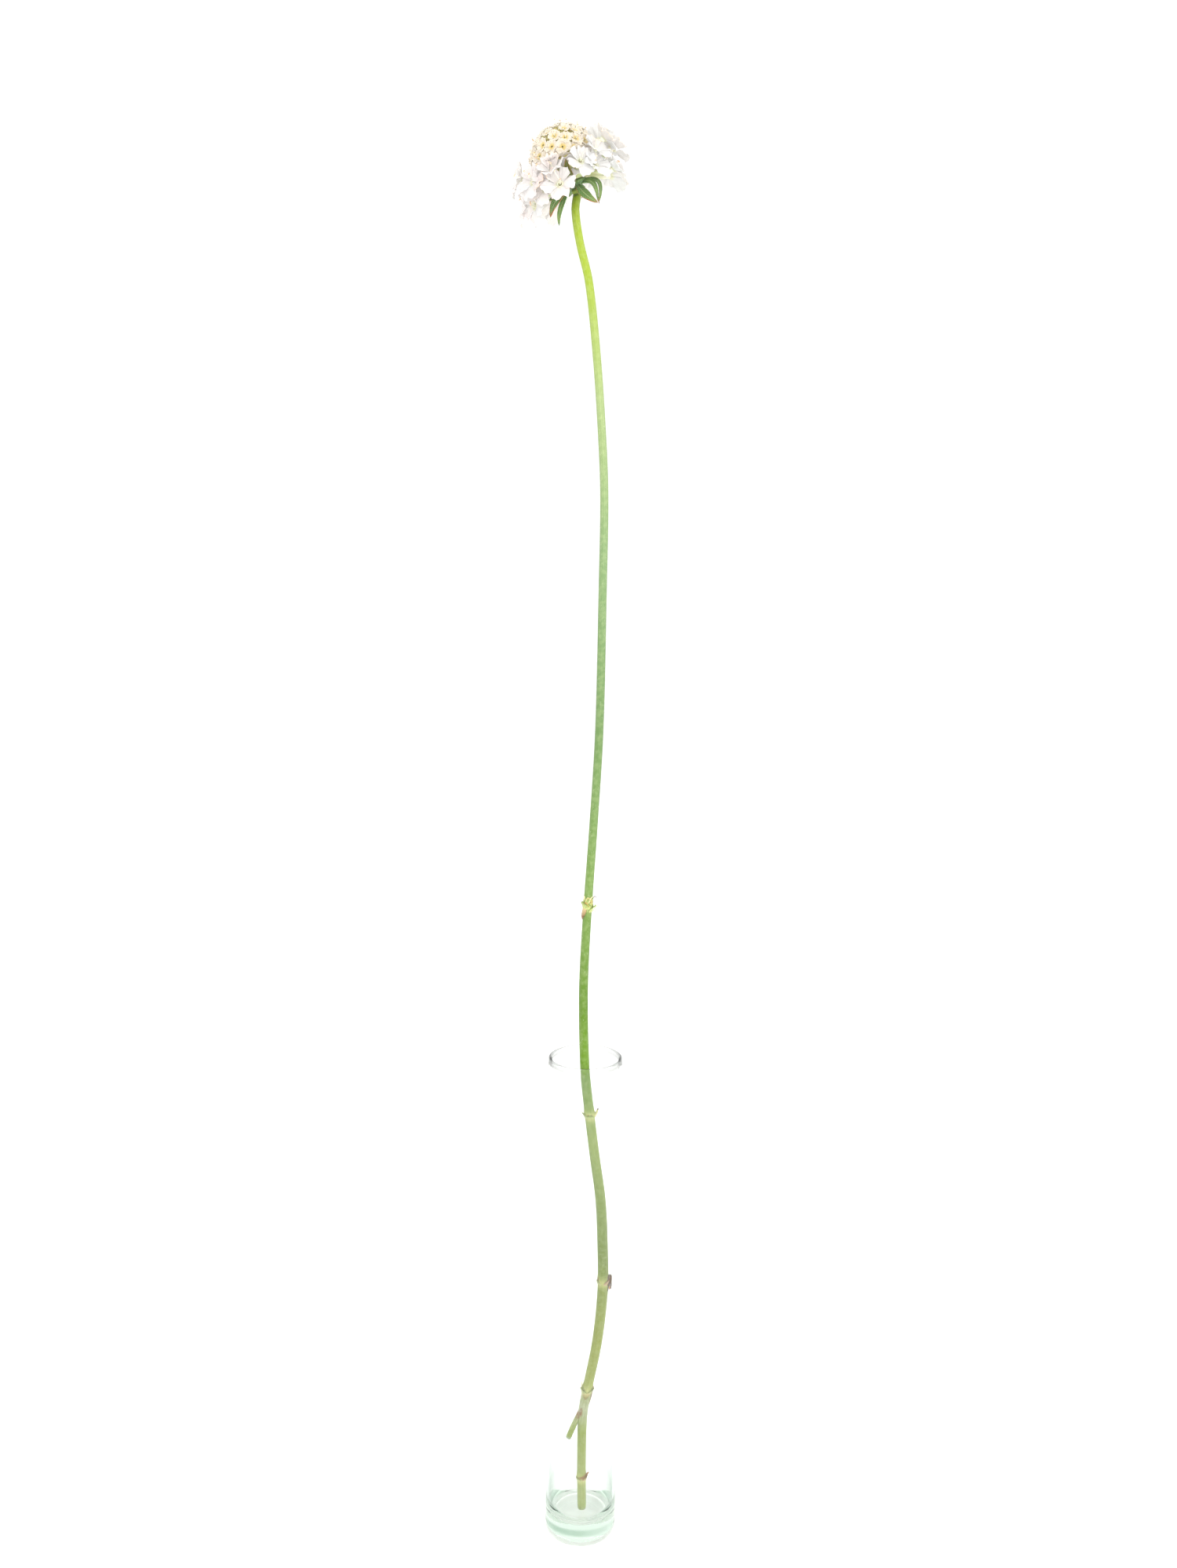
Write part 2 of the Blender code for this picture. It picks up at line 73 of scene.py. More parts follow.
VASE_HEIGHT = vase_high[2]
VASE_RADIUS = (vase_high[0] - vase_low[0]) / 2
print("the whole is", [round((b - a) / MM) for a, b in zip(cad_low, cad_high)], "mm")
print("the vase is", round(VASE_HEIGHT / MM), "mm tall and", round(2 * VASE_RADIUS / MM), "mm across")

# %% [markdown]
# Writing shader maths
#
# A finish is a sum of small effects: a mask for the throat, plus some noise, times a vein pattern. Nodes
# for sums could be placed one by one, but they are hard to read. Instead one small class wraps a node's
# output, so that `1 - mask * 0.5` adds the Math nodes by itself. Colours are mixed by a Mix node, because
# a Math node would turn them grey.

# %% A class for values that vary over a surface
class Shade:
    """The output of a shader node, on which sums can be written."""

    def __init__(self, socket):
        self.socket = socket

    @staticmethod
    def node(tree, kind, settings, inputs, output=0):
        """Adds a node: its settings or colour stops first, then its inputs, as numbers or outputs."""
        node = tree.nodes.new(kind)
        for name, value in settings.items():
            if name != "stops":
                setattr(node, name, value)
                continue
            ramp = node.color_ramp
            while len(ramp.elements) < len(value):
                ramp.elements.new(1)
            for element, (place, colour) in zip(ramp.elements, value):
                element.position = place
                element.color = (*colour, 1)
        for name, value in inputs.items():
            if isinstance(value, Shade):
                tree.links.new(value.socket, node.inputs[name])
            else:
                node.inputs[name].default_value = value
        return Shade(node.outputs[output])

    def maths(self, operation, *values):
        tree = self.socket.id_data
        return Shade.node(tree, "ShaderNodeMath", {"operation": operation}, dict(enumerate(values)))

    def __add__(self, other):
        return self.maths("ADD", self, other)

    __radd__ = __add__

    def __sub__(self, other):
        return self.maths("SUBTRACT", self, other)

    def __rsub__(self, other):
        return self.maths("SUBTRACT", other, self)

    def __mul__(self, other):
        return self.maths("MULTIPLY", self, other)

    __rmul__ = __mul__

    def sine(self):
        return self.maths("SINE", self)

    def absolute(self):
        return self.maths("ABSOLUTE", self)

    def between(self, low, high):
        """0 below low and 1 above high, with a smooth step between. Low may be the greater one."""
        settings = {"interpolation_type": "SMOOTHSTEP"}
        inputs = {"Value": self, "From Min": low, "From Max": high}
        return Shade.node(self.socket.id_data, "ShaderNodeMapRange", settings, inputs)

    def bump(self, low, high):
        """1 between two values, fading to 0 over a quarter of the span on both sides."""
        edge = (high - low) / 4
        return self.between(low - edge, low + edge) * self.between(high + edge, high - edge)


print("a Shade knows + - * and its own steps")

# %% [markdown]
# What every finish starts from
#
# Each finish is one Principled shader. What stays the same all over, such as the sheen of fine hairs, is
# a plain number on the shader. What changes, such as the colour, comes from values that are stored on the
# points of the mesh: how far a point is along its petal, how far across, and a number of its own for each
# petal. They cost nothing to look up, and they stay with the petal however it is bent.

# %% A material with its Principled shader
def srgb(red, green, blue):
    """A colour given as it looks on a screen, from 0 to 255, as the linear colour that shaders use."""
    shares = [value / 255 for value in (red, green, blue)]
    return tuple(s / 12.92 if s <= 0.04045 else ((s + 0.055) / 1.055) ** 2.4 for s in shares)


class Finish:
    """A material with one Principled shader, whose constants are given by socket name."""

    def __init__(self, name, **constants):
        self.material = bpy.data.materials.new(name)
        self.material.use_nodes = True
        self.tree = self.material.node_tree
        self.shader = self.tree.nodes["Principled BSDF"]
        for socket, value in constants.items():
            self.shader.inputs[socket.replace("_", " ")].default_value = value

    def add(self, kind, settings=None, inputs=None, output=0):
        return Shade.node(self.tree, kind, settings or {}, inputs or {}, output)

    def stored(self, name):
        """A value stored on the points of the mesh."""
        return self.add("ShaderNodeAttribute", {"attribute_name": name}, output="Fac")

    def place(self):
        return self.add("ShaderNodeTexCoord", output="Object")

    def noise(self, scale, detail=3.0, vector=None):
        inputs = {"Vector": vector or self.place(), "Scale": scale, "Detail": detail}
        return self.add("ShaderNodeTexNoise", inputs=inputs, output="Fac")

    def ramp(self, value, stops):
        """A colour that a value picks from a row of stops."""
        return self.add("ShaderNodeValToRGB", {"stops": stops}, {"Fac": value})

    def mix(self, factor, low, high):
        """One colour where the factor is 0 and another where it is 1."""
        inputs = {0: factor}
        for index, colour in ((6, low), (7, high)):
            inputs[index] = colour if isinstance(colour, Shade) else (*colour, 1)
        return self.add("ShaderNodeMix", {"data_type": "RGBA"}, inputs, output=2)

    def set(self, socket, value):
        self.tree.links.new(value.socket, self.shader.inputs[socket])

    def relief(self, height, distance, strength=1.0):
        """Bumps of a real height, in metres."""
        inputs = {"Height": height, "Distance": distance, "Strength": strength}
        self.set("Normal", self.add("ShaderNodeBump", {}, inputs))


print("mid green on a screen is", [round(v, 3) for v in srgb(128, 160, 80)], "in linear light")

# %% [markdown]
# Building many small shapes as one mesh
#
# Petals, tubes and hairs all repeat. Each could be an object, but hundreds of objects are slow and
# clumsy. So a bunch collects grids of points, one for each petal or tube, and makes a single mesh of
# them. Every grid can carry the stored values that the finishes read. Thin sheets get a Solidify
# modifier, because a real petal has two faces and an edge.

# %% A bunch of grids
WELD = 1e-7


class Bunch:
    """Grids of points that become one mesh, with named values stored on each point."""

    def __init__(self, *names):
        self.points, self.faces, self.count = [], [], 0
        self.values = {name: [] for name in names}

    def add(self, points, wrap=False, **values):
        """Adds a grid of points. wrap joins the last point of each row to its first."""
        high, wide = points.shape[:2]
        index = self.count + np.arange(high * wide).reshape(high, wide)
        self.count += high * wide
        if wrap:
            index = np.hstack([index, index[:, :1]])
        corners = (index[:-1, :-1], index[:-1, 1:], index[1:, 1:], index[1:, :-1])
        self.points.append(points.reshape(-1, 3))
        self.faces.append(np.stack(corners, axis=-1).reshape(-1, 4))
        for name, chunks in self.values.items():
            chunks.append(np.broadcast_to(values.get(name, 0.0), (high, wide)).ravel())

    def make(self, name, finish, node, thickness=0.0):
        """Makes the piece, which rides with the model in place of one of its solids."""
        mesh = bpy.data.meshes.new(name)
        mesh.from_pydata(np.concatenate(self.points).tolist(), [], np.concatenate(self.faces).tolist())
        for value, chunks in self.values.items():
            layer = mesh.attributes.new(value, "FLOAT", "POINT")
            layer.data.foreach_set("value", np.concatenate(chunks).astype(np.float32))
        bm = bmesh.new()
        bm.from_mesh(mesh)
        bmesh.ops.remove_doubles(bm, verts=bm.verts, dist=WELD)
        bm.to_mesh(mesh)
        bm.free()
        mesh.shade_smooth()
        piece = bpy.data.objects.new(name, mesh)
        bpy.context.scene.collection.objects.link(piece)
        if thickness:
            solidify = piece.modifiers.new("thickness", "SOLIDIFY")
            solidify.thickness = thickness
            solidify.offset = 0
        keep(piece, finish, node)
        print(name, "has", len(mesh.polygons), "faces")
        return piece


def keep(piece, finish, node):
    """Gives a piece its finish and its place in the model."""
    piece.data.materials.append(finish.material)
    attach(piece, "root")
    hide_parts(node)


print("points nearer than", round(WELD / MM, 4), "mm are welded")

# %% Tubes along a path
# A mouth's rings: how wide each is and how far down, as shares of the tube's radius and the mouth's depth.
MOUTH_RINGS = ((0.8, 0.1), (0.6, 0.6), (0.3, 0.9))


def unit(vector):
    return vector / np.linalg.norm(vector, axis=-1, keepdims=True)


def sweep(path, radii, sides, ribs=0, rib_depth=0.0, mouth=0.0):
    """A tube along a path, one row a ring. Its ends are drawn in to a point, or the last one to a mouth."""
    path = np.asarray(path, float)
    along = unit(np.gradient(path, axis=0))
    side = np.cross(along[0], np.eye(3)[np.argmin(np.abs(along[0]))])
    turns = turns_round(sides)
    swell = 1 + rib_depth * np.cos(ribs * turns)[:, None]
    rows = [np.repeat(path[:1], sides, axis=0)]
    for centre, way, radius in zip(path, along, radii):
        side = unit(side - way * side.dot(way))
        ring = np.cos(turns)[:, None] * side + np.sin(turns)[:, None] * np.cross(way, side)
        rows.append(centre + ring * swell * radius)
    for shrink, depth in MOUTH_RINGS if mouth else ():
        rows.append(path[-1] - along[-1] * mouth * depth + ring * radius * shrink)
    rows.append(np.repeat(path[-1:] - along[-1:] * mouth, sides, axis=0))
    return np.array(rows)


def turns_round(sides):
    """The angles of a ring's points."""
    return np.linspace(0, math.tau, sides, endpoint=False)


def bow(start, bend, end, steps):
    """Points on a curve that leaves start towards bend and comes to end from there."""
    t = np.linspace(0, 1, steps)[:, None]
    return np.array(start) * (1 - t) ** 2 + np.array(bend) * (2 * t * (1 - t)) + np.array(end) * t**2


def down_rows(grid):
    """0 at a grid's first row and 1 at its last."""
    return np.linspace(0, 1, len(grid))[:, None]


def moved(points, matrix):
    """Points, in an array of any shape, moved by a matrix."""
    matrix = np.array(matrix)
    return points @ matrix[:3, :3].T + matrix[:3, 3]


short_tube = sweep([(0, 0, 0), (0, 0, 1), (0, 0, 2)], [1, 1, 1], 8)
print("a tube of 3 rings has", len(short_tube), "rows, with its two ends")

# %% [markdown]
# The vase
#
# It is a straight cylinder of clear soda glass, blown thin at the sides and left thick at the foot, with
# a lip melted round in the flame. Turned things like this are made from half an outline and a Screw
# modifier. The glass has its colour in its depth, not on its face: the walls look clear, and only the
# thick floor is green. So the shader is clear, and the tint is an absorption inside the glass, which
# grows with the way that light travels. A round lip throws light round and round inside itself, and where
# a renderer gives up it draws black. So the lip is partly see-through, which keeps its edge thin. Just
# above the foot the wall is tinted where one looks along it.

# %% Half the vase's outline
WALL = 2.0 * MM
LIP_RADIUS = WALL / 2
LIP_BAND = 5.0 * MM
HEEL_RADIUS = 2.5 * MM
FLOOR = 11.0 * MM
FLOOR_CORNER = 7.9 * MM
FLOOR_RISE = 1.5
PUNT_RADIUS = 14 * MM
PUNT_DEPTH = 0.6 * MM
WALL_RINGS = (0.2, 0.4, 0.6, 0.8)
PUNT_RINGS = (0, 0.4, 0.7, 0.9, 1)


def arc(centre, radius, start, end, steps):
    """Points (x, z) on an arc, from one angle to another in degrees."""
    angles = np.radians(np.linspace(start, end, steps + 1))
    return [(centre[0] + radius * math.cos(a), centre[1] + radius * math.sin(a)) for a in angles]


def vase_outline():
    """From the middle of the floor up the inside, over the lip, down the outside and under the foot."""
    inner = VASE_RADIUS - WALL
    points = [(0, FLOOR)]
    corner = arc((inner - FLOOR_CORNER, FLOOR_CORNER), FLOOR_CORNER, -90, 0, 24)
    points += [(x, FLOOR + z * FLOOR_RISE) for x, z in corner]
    points += [(inner, VASE_HEIGHT * share) for share in WALL_RINGS]
    points += [(inner, VASE_HEIGHT - LIP_BAND)]
    points += arc((VASE_RADIUS - LIP_RADIUS, VASE_HEIGHT - LIP_RADIUS), LIP_RADIUS, 180, 0, 16)
    points += [(VASE_RADIUS, VASE_HEIGHT - LIP_BAND)]
    points += [(VASE_RADIUS, VASE_HEIGHT * share) for share in reversed(WALL_RINGS)]
    points += arc((VASE_RADIUS - HEEL_RADIUS, HEEL_RADIUS), HEEL_RADIUS, 0, -90, 12)
    points += [(PUNT_RADIUS * math.sqrt(1 - s * s), PUNT_DEPTH * s * s) for s in PUNT_RINGS]
    return points


half_outline = vase_outline()
print("the outline has", len(half_outline), "points")

# %% Turn the outline into a vase
VASE_SIDES = 128
MERGE = 1e-6


def turn(name, outline, sides):
    """A solid of revolution."""
    mesh = bpy.data.meshes.new(name)
    edges = [(i, i + 1) for i in range(len(outline) - 1)]
    mesh.from_pydata([(x, 0, z) for x, z in outline], edges, [])
    piece = bpy.data.objects.new(name, mesh)
    bpy.context.scene.collection.objects.link(piece)
    screw = piece.modifiers.new("turn", "SCREW")
    screw.steps = screw.render_steps = sides
    screw.use_merge_vertices = True
    screw.merge_threshold = MERGE
    screw.use_smooth_shade = True
    return piece


vase = turn("vase_glass", half_outline, VASE_SIDES)
print("the vase is turned in", VASE_SIDES, "steps")

# %% Clear glass with its tint inside
GLASS_TINT = (0.32, 0.76, 0.42)
GLASS_DENSITY = 9.0
LIP_PRESENCE = 0.55
GLANCE_START = 0.12
GLANCE_FULL = 0.9
EDGE_GREEN = srgb(172, 196, 184)
TINT_LOW = FLOOR + 1 * MM
TINT_MIDDLE = FLOOR + 10 * MM
TINT_TOP = FLOOR + 62 * MM

glass = Finish("clear_glass", Roughness=0.0, IOR=1.5, Transmission_Weight=1.0)
depth_tint = {"Color": (*GLASS_TINT, 1), "Density": GLASS_DENSITY}
absorption = glass.add("ShaderNodeVolumeAbsorption", {}, depth_tint)
glass.tree.links.new(absorption.socket, glass.tree.nodes["Material Output"].inputs["Volume"])
level = glass.add("ShaderNodeSeparateXYZ", {}, {0: glass.place()}, "Z")
lip = level.between(VASE_HEIGHT - LIP_BAND, VASE_HEIGHT - 2 * LIP_RADIUS)
glass.set("Alpha", 1 - lip * (1 - LIP_PRESENCE))
facing = glass.add("ShaderNodeLayerWeight", {}, {"Blend": 0.5}, "Facing")
glancing = facing.between(GLANCE_START, GLANCE_FULL)
near_foot = level.between(TINT_TOP, TINT_MIDDLE) * level.between(TINT_LOW, TINT_MIDDLE)
glass.set("Base Color", glass.mix(glancing * near_foot, (1, 1, 1), EDGE_GREEN))
keep(vase, glass, "vase")
vase.visible_shadow = False
through = [round(math.exp(-(1 - tint) * GLASS_DENSITY * 2 * VASE_RADIUS), 2) for tint in GLASS_TINT]
print("light that crosses the whole foot keeps", through, "of its red, green and blue")

# %% [markdown]
# The stem
#
# It is a long bare stalk, thicker at the foot, that swells at five joints where its leaves were stripped.
# It wanders: it leans back in the vase, rests on the front of the lip, and bends to the left under the
# head. A curve object could give the tube, but its ribs and swellings need a radius that changes round
# and along it. So it is swept ring by ring along a smooth line through a few points.

# %% The stem's line
STEM_FOOT = FLOOR + 0.5 * MM
STEM_ROUTE = [
    (0.9, 0.0, STEM_FOOT / MM),
    (0.4, -2.3, 45),
    (0.9, -4.5, 77),
    (3.4, -5.6, 94),
    (8.7, -7.6, 126),
    (11.4, -9.6, 160),
    (11.0, -11.3, 187),
    (9.4, -12.7, 218),
    (5.6, -14.0, 247),
    (2.1, -15.0, 276),
    (-0.3, -15.5, 300),
    (-1.5, -15.7, 345),
    (0.0, -16.0, 387),
    (3.1, -16.2, 441),
    (5.6, -15.3, 493),
    (6.5, -13.8, 570),
    (6.7, -12.2, 620),
    (4.7, -10.7, 657),
    (1.6, -9.3, 694),
    (-2.8, -8.2, 730),
    (-7.8, -7.5, 750),
    (-10.3, -7.2, 766),
    (-9.4, -6.55, 774.1),
]

route = np.array(STEM_ROUTE) * MM


def stem_point(height):
    """The stem's middle at a height, on a smooth cubic through the route's points."""
    last = len(route) - 2
    i = min(last, max(0, int(np.sum(route[:, 2] <= height)) - 1))

    def slope(k):
        before, after = route[max(0, k - 1)], route[min(last + 1, k + 1)]
        return (after - before) / (after[2] - before[2])

    low, high = route[i], route[i + 1]
    span = high[2] - low[2]
    t = (height - low[2]) / span
    bend = slope(i) * span * (t**3 - 2 * t**2 + t) + slope(i + 1) * span * (t**3 - t**2)
    return low * (2 * t**3 - 3 * t**2 + 1) + high * (3 * t**2 - 2 * t**3) + bend


print("the stem's middle passes the lip at", [round(v / MM, 1) for v in stem_point(VASE_HEIGHT)], "mm")

# %% The stem's thickness
# Height and diameter, in mm.
STEM_DIAMETERS = [(11, 5.3), (60, 5.5), (165, 6.0), (300, 5.4), (450, 4.7), (650, 4.5), (780, 4.3)]
JOINT_HEIGHTS = [34 * MM, 95 * MM, 167 * MM, 272 * MM, 396 * MM]
JOINT_SWELLINGS = [0.14, 0.14, 0.12, 0.12, 0.17]
JOINT_SPREAD = 2.6 * MM


def stem_radius(height):
    """Half the stem's thickness at a height, swollen at each joint."""
    heights, diameters = np.array(STEM_DIAMETERS).T * MM
    plain = np.interp(height, heights, diameters) / 2
    swelling = 0
    for joint, size in zip(JOINT_HEIGHTS, JOINT_SWELLINGS):
        swelling += size * math.exp(-(((height - joint) / JOINT_SPREAD) ** 2))
    return plain * (1 + swelling)


print("at the lip the stem is", round(2 * stem_radius(VASE_HEIGHT) / MM, 1), "mm thick")

# %% [markdown]
# The head's own frame
#
# The flower head leans to the left and a little forward, so its pieces are placed in a frame of their
# own: the origin is the tip of the stem, and up is the head's axis. A bearing of 0 faces the front, and
# 90 the right.

# %% Place the head
STEM_TIP = Vector((-10.6, -7.1, 777)) * MM
HEAD_LEAN_LEFT = math.radians(23)
HEAD_LEAN_FRONT = math.radians(10)
HEAD = Matrix.Translation(STEM_TIP) @ Euler((HEAD_LEAN_FRONT, -HEAD_LEAN_LEFT, 0)).to_matrix().to_4x4()
GAP = 0.3 * MM


def bearing(degrees):
    angle = math.radians(degrees)
    return np.array((math.sin(angle), -math.cos(angle), 0.0))


tip = np.array(HEAD.translation) - np.array(HEAD.col[2][:3]) * GAP
print("the stem ends at", [round(v / MM, 1) for v in tip], "mm")

# %% Sweep the stem
STEM_SIDES = 30
STEM_RIBS = 10
RIB_DEPTH = 0.022
STEM_STEP = 2.5 * MM
# The rings stand closer near a joint, to show its swelling: how far from it each way, and how close, in mm.
JOINT_REACH = 6
JOINT_STEP = 0.6
FOOT_NARROWING = 0.93

heights = np.arange(STEM_FOOT, route[-1, 2], STEM_STEP)
steps = np.arange(-JOINT_REACH, JOINT_REACH + 0.1, JOINT_STEP) * MM
near_joints = [joint + step for joint in JOINT_HEIGHTS for step in steps]
heights = np.unique(np.round(np.concatenate([heights, near_joints]), 5))
line = np.array([stem_point(h) for h in heights] + [stem_point(route[-1, 2]), tip])
radii = [stem_radius(point[2]) for point in line]
radii[0] *= FOOT_NARROWING

tube = sweep(line, radii, STEM_SIDES, ribs=STEM_RIBS, rib_depth=RIB_DEPTH)
print("the stem has", len(line), "rings")

# %% Sweep the stub of its side shoot
SHOOT_ROOT = np.array((0.4, -4.6, 80)) * MM
SHOOT_BEND = np.array((-3.6, -4.5, 72)) * MM
SHOOT_TIP = np.array((-7.6, -4.4, 61)) * MM
SHOOT_RADIUS = 1.65 * MM
SHOOT_RINGS = 14
SHOOT_SIDES = 16
SHOOT_RIBS = 5
SHOOT_RIB_DEPTH = 0.05

shoot_line = bow(SHOOT_ROOT, SHOOT_BEND, SHOOT_TIP, SHOOT_RINGS)
shoot = sweep(shoot_line, [SHOOT_RADIUS] * SHOOT_RINGS, SHOOT_SIDES, SHOOT_RIBS, SHOOT_RIB_DEPTH)
print("the stub was cut", round(SHOOT_TIP[2] / MM), "mm up")

# %% [markdown]
# Where the stem has browned
#
# At every joint the bark is paler, and small patches have dried to brown. They are no pattern that noise
# could make, because each sits at its own place. So each patch is given by its height, its bearing, its
# half height, its half width in degrees and its strength, and it is worked out for every point of the
# stem, as a soft spot.

# %% Stored values for the dry patches and for the bare pale collars
DRY_PATCHES = [
    (392.0, -50, 3.0, 40, 0.9),
    (396.5, 60, 1.0, 60, 0.6),
    (270.5, -12, 1.6, 9, 1.0),
    (270.5, 24, 1.6, 9, 1.0),
    (167.0, -60, 3.0, 14, 0.8),
    (168.0, 70, 3.0, 30, 0.9),
    (91.5, -10, 1.2, 50, 0.9),
    (88.0, 78, 7.0, 16, 0.6),
    (79.0, -34, 4.0, 34, 0.8),
    (34.0, 70, 3.5, 60, 0.8),
    (34.0, -20, 1.5, 60, 0.5),
]
COLLAR_DROP = 1.5 * MM
COLLAR_SPREAD = 3 * MM
SHOOT_DRYNESS = 0.9
SHOOT_DRY_REACH = 0.4
SHOOT_CUT = 0.93


def soft_spots(points, centres):
    """How dry each point of the tube is, from 0 to 1."""
    offset = points - centres
    facing_way = np.degrees(np.arctan2(offset[..., 0], -offset[..., 1]))
    total = np.zeros(points.shape[:2])
    for height, turn, tall, wide, strength in DRY_PATCHES:
        around = (facing_way - turn + 180) % 360 - 180
        distance = ((points[..., 2] / MM - height) / tall) ** 2 + (around / wide) ** 2
        total += strength * np.exp(-distance)
    return np.clip(total, 0, 1)


def nearness(points, places, spread):
    """1 at any of the heights, fading over the spread."""
    apart = (points[..., 2:] - np.array(places)) / spread
    return np.exp(-(apart**2)).sum(axis=-1)


middles = np.concatenate([line[:1], line, line[-1:]])[:, None]
stem = Bunch("height", "rib", "dry", "collar", "cut")
stem.add(
    tube,
    wrap=True,
    height=tube[:, :, 2],
    rib=np.cos(STEM_RIBS * turns_round(STEM_SIDES)),
    dry=soft_spots(tube, middles),
    collar=nearness(tube, [joint - COLLAR_DROP for joint in JOINT_HEIGHTS], COLLAR_SPREAD),
)
shoot_share = down_rows(shoot)
stem.add(
    shoot,
    wrap=True,
    height=shoot[:, :, 2],
    rib=np.cos(SHOOT_RIBS * turns_round(SHOOT_SIDES)),
    dry=SHOOT_DRYNESS * np.exp(-((shoot_share / SHOOT_DRY_REACH) ** 2)),
    cut=(shoot_share > SHOOT_CUT) * 1.0,
)
print("the driest point of the stem is", round(float(soft_spots(tube, middles).max()), 2))

# %% [markdown]
# The stem's finish
#
# A scabiosa stem is yellow-green just under the flower, fresh pale green in the middle, and duller
# towards the foot. Fine grooves run up it and short silky hairs cover it, so its edges look paler than
# its middle. A colour ramp over the height gives the greens, and the stored ribs paint shade into the
# grooves. The silk is sheen, which is strongest at glancing angles and needs no hairs to be drawn.

# %% The stem's colours by height
STEM_COLOURS = [
    (0.010, srgb(151, 166, 94)),
    (0.050, srgb(148, 161, 88)),
    (0.085, srgb(132, 149, 46)),
    (0.105, srgb(172, 180, 144)),
    (0.125, srgb(144, 154, 66)),
    (0.170, srgb(134, 146, 26)),
    (0.240, srgb(106, 131, 6)),
    (0.330, srgb(139, 160, 76)),
    (0.375, srgb(98, 136, 18)),
    (0.430, srgb(82, 120, 10)),
    (0.520, srgb(108, 138, 67)),
    (0.640, srgb(101, 132, 78)),
    (0.760, srgb(124, 152, 102)),
    (0.860, srgb(152, 171, 115)),
    (0.940, srgb(151, 172, 52)),
    (0.975, srgb(156, 177, 48)),
    (1.000, srgb(124, 142, 44)),
]
SILK = srgb(214, 224, 196)
COLLAR_GREEN = srgb(206, 208, 132)
# Painted shade: the darker green of the grooves between the ribs.
GROOVE_SHADE_GREEN = srgb(84, 108, 46)
MOTTLE_GREEN = srgb(214, 222, 176)
DRY_BROWN = srgb(132, 92, 48)
CUT_GREEN = srgb(150, 166, 140)

skin = Finish("stem_skin", Roughness=0.55, Sheen_Weight=0.4, Sheen_Roughness=0.4, Specular_IOR_Level=0.35)
skin.shader.inputs["Sheen Tint"].default_value = (*SILK, 1)
green = skin.ramp(skin.stored("height") * (1 / STEM_TIP.z), STEM_COLOURS)
collared = skin.mix(skin.stored("collar") * 0.75, green, COLLAR_GREEN)
# Painted shade: the colour is darker in the grooves between the ribs.
groove_shade = skin.stored("rib").between(0.2, -0.9)
groove_shaded = skin.mix(groove_shade * 0.15, collared, GROOVE_SHADE_GREEN)
mottle = skin.noise(420.0, 4.0).between(0.35, 0.75)
mottled = skin.mix(mottle * 0.14, groove_shaded, MOTTLE_GREEN)
dry_edge = (skin.stored("dry") + skin.noise(900.0) * 0.5 - 0.25).between(0.25, 0.7)
dried = skin.mix(dry_edge * 0.9, mottled, DRY_BROWN)
skin.set("Base Color", skin.mix(skin.stored("cut"), dried, CUT_GREEN))
skin.relief(skin.noise(1500.0, 2.0) * 0.5 + skin.stored("rib") * 0.3, 0.12 * MM)
skin.set("Roughness", 0.42 + mottle * 0.25)

stem.make("stem_stalk", skin, "stem")
print("the stem's ramp has", len(STEM_COLOURS), "greens")

# %% [markdown]
# Leaf bases and dried scales at the joints
#
# Where a pair of leaves was pulled off, their bases stay: small scales that hug the stem, some still
# green and some dried to straw. One formula makes all of them. It follows the stem's own face round and
# up, and lifts off it towards the tip. A negative length makes a scale that hangs.

# %% Scales that hug the stem
SCALE_LIFT = 0.15 * MM
SCALE_ROWS = 10
SCALE_COLUMNS = 11


def scale_leaf(bunch, height, turn, spread, length, flare, dry):
    """A scale whose base takes some degrees of the stem, and whose tip stands out by the flare."""
    shares = np.linspace(0, 1, SCALE_ROWS)
    sides = np.linspace(-1, 1, SCALE_COLUMNS)
    points = np.zeros((SCALE_ROWS, SCALE_COLUMNS, 3))
    for i, share in enumerate(shares):
        taper = math.sqrt(1 - 0.98 * share**2.4)
        for j, across in enumerate(sides):
            level = (height + length * share * (1 - 0.3 * across**2)) * MM
            angle = turn + across * spread / 2 * taper
            away = stem_radius(level) + SCALE_LIFT + flare * MM * share**1.6
            points[i, j] = stem_point(level) + bearing(angle) * away
    bunch.add(points, share=shares[:, None], across=sides, dry=dry)


# Height in mm, bearing, spread in degrees, length in mm, flare in mm, and how dry it is.
SCALES = [
    (392.6, -58, 120, 4.6, 0.9, 0.25),
    (393.0, -52, 76, -6.4, 0.8, 0.95),
    (390.6, 78, 120, 4.4, 1.5, 0.05),
    (392.4, 10, 90, 3.4, 0.5, 0.15),
    (392.0, 165, 150, 4.0, 0.8, 0.3),
    (269.6, -70, 110, 3.0, 0.8, 0.1),
    (269.4, 8, 100, 2.2, 0.3, 0.1),
    (269.6, 150, 130, 3.0, 0.7, 0.2),
    (165.0, -66, 90, 2.6, 0.25, 0.3),
    (164.6, 62, 110, 4.6, 0.8, 0.85),
    (166.2, 86, 80, -4.0, 0.9, 0.9),
    (165.0, 170, 120, 3.2, 0.7, 0.5),
    (92.0, -62, 120, 4.2, 1.1, 0.3),
    (92.4, 60, 110, 3.4, 0.8, 0.35),
    (93.0, -5, 90, -4.6, 0.4, 0.55),
    (92.0, 165, 140, 3.6, 0.7, 0.4),
    (32.0, 72, 120, 3.0, 0.45, 0.65),
    (32.0, -58, 110, 2.2, 0.2, 0.35),
    (32.0, 170, 120, 3.0, 0.5, 0.6),
]
scales = Bunch("share", "across", "dry")
for scale in SCALES:
    scale_leaf(scales, *scale)

# %% The scales' finish
SCALE_THICKNESS = 0.3 * MM
SCALE_STRIPES = 16.0
FRESH_BASE = srgb(196, 206, 132)
FRESH_TIP = srgb(146, 172, 84)
STRAW_BASE = srgb(214, 190, 140)
STRAW_TIP = srgb(134, 92, 50)
STRIPE_BROWN = srgb(96, 76, 40)

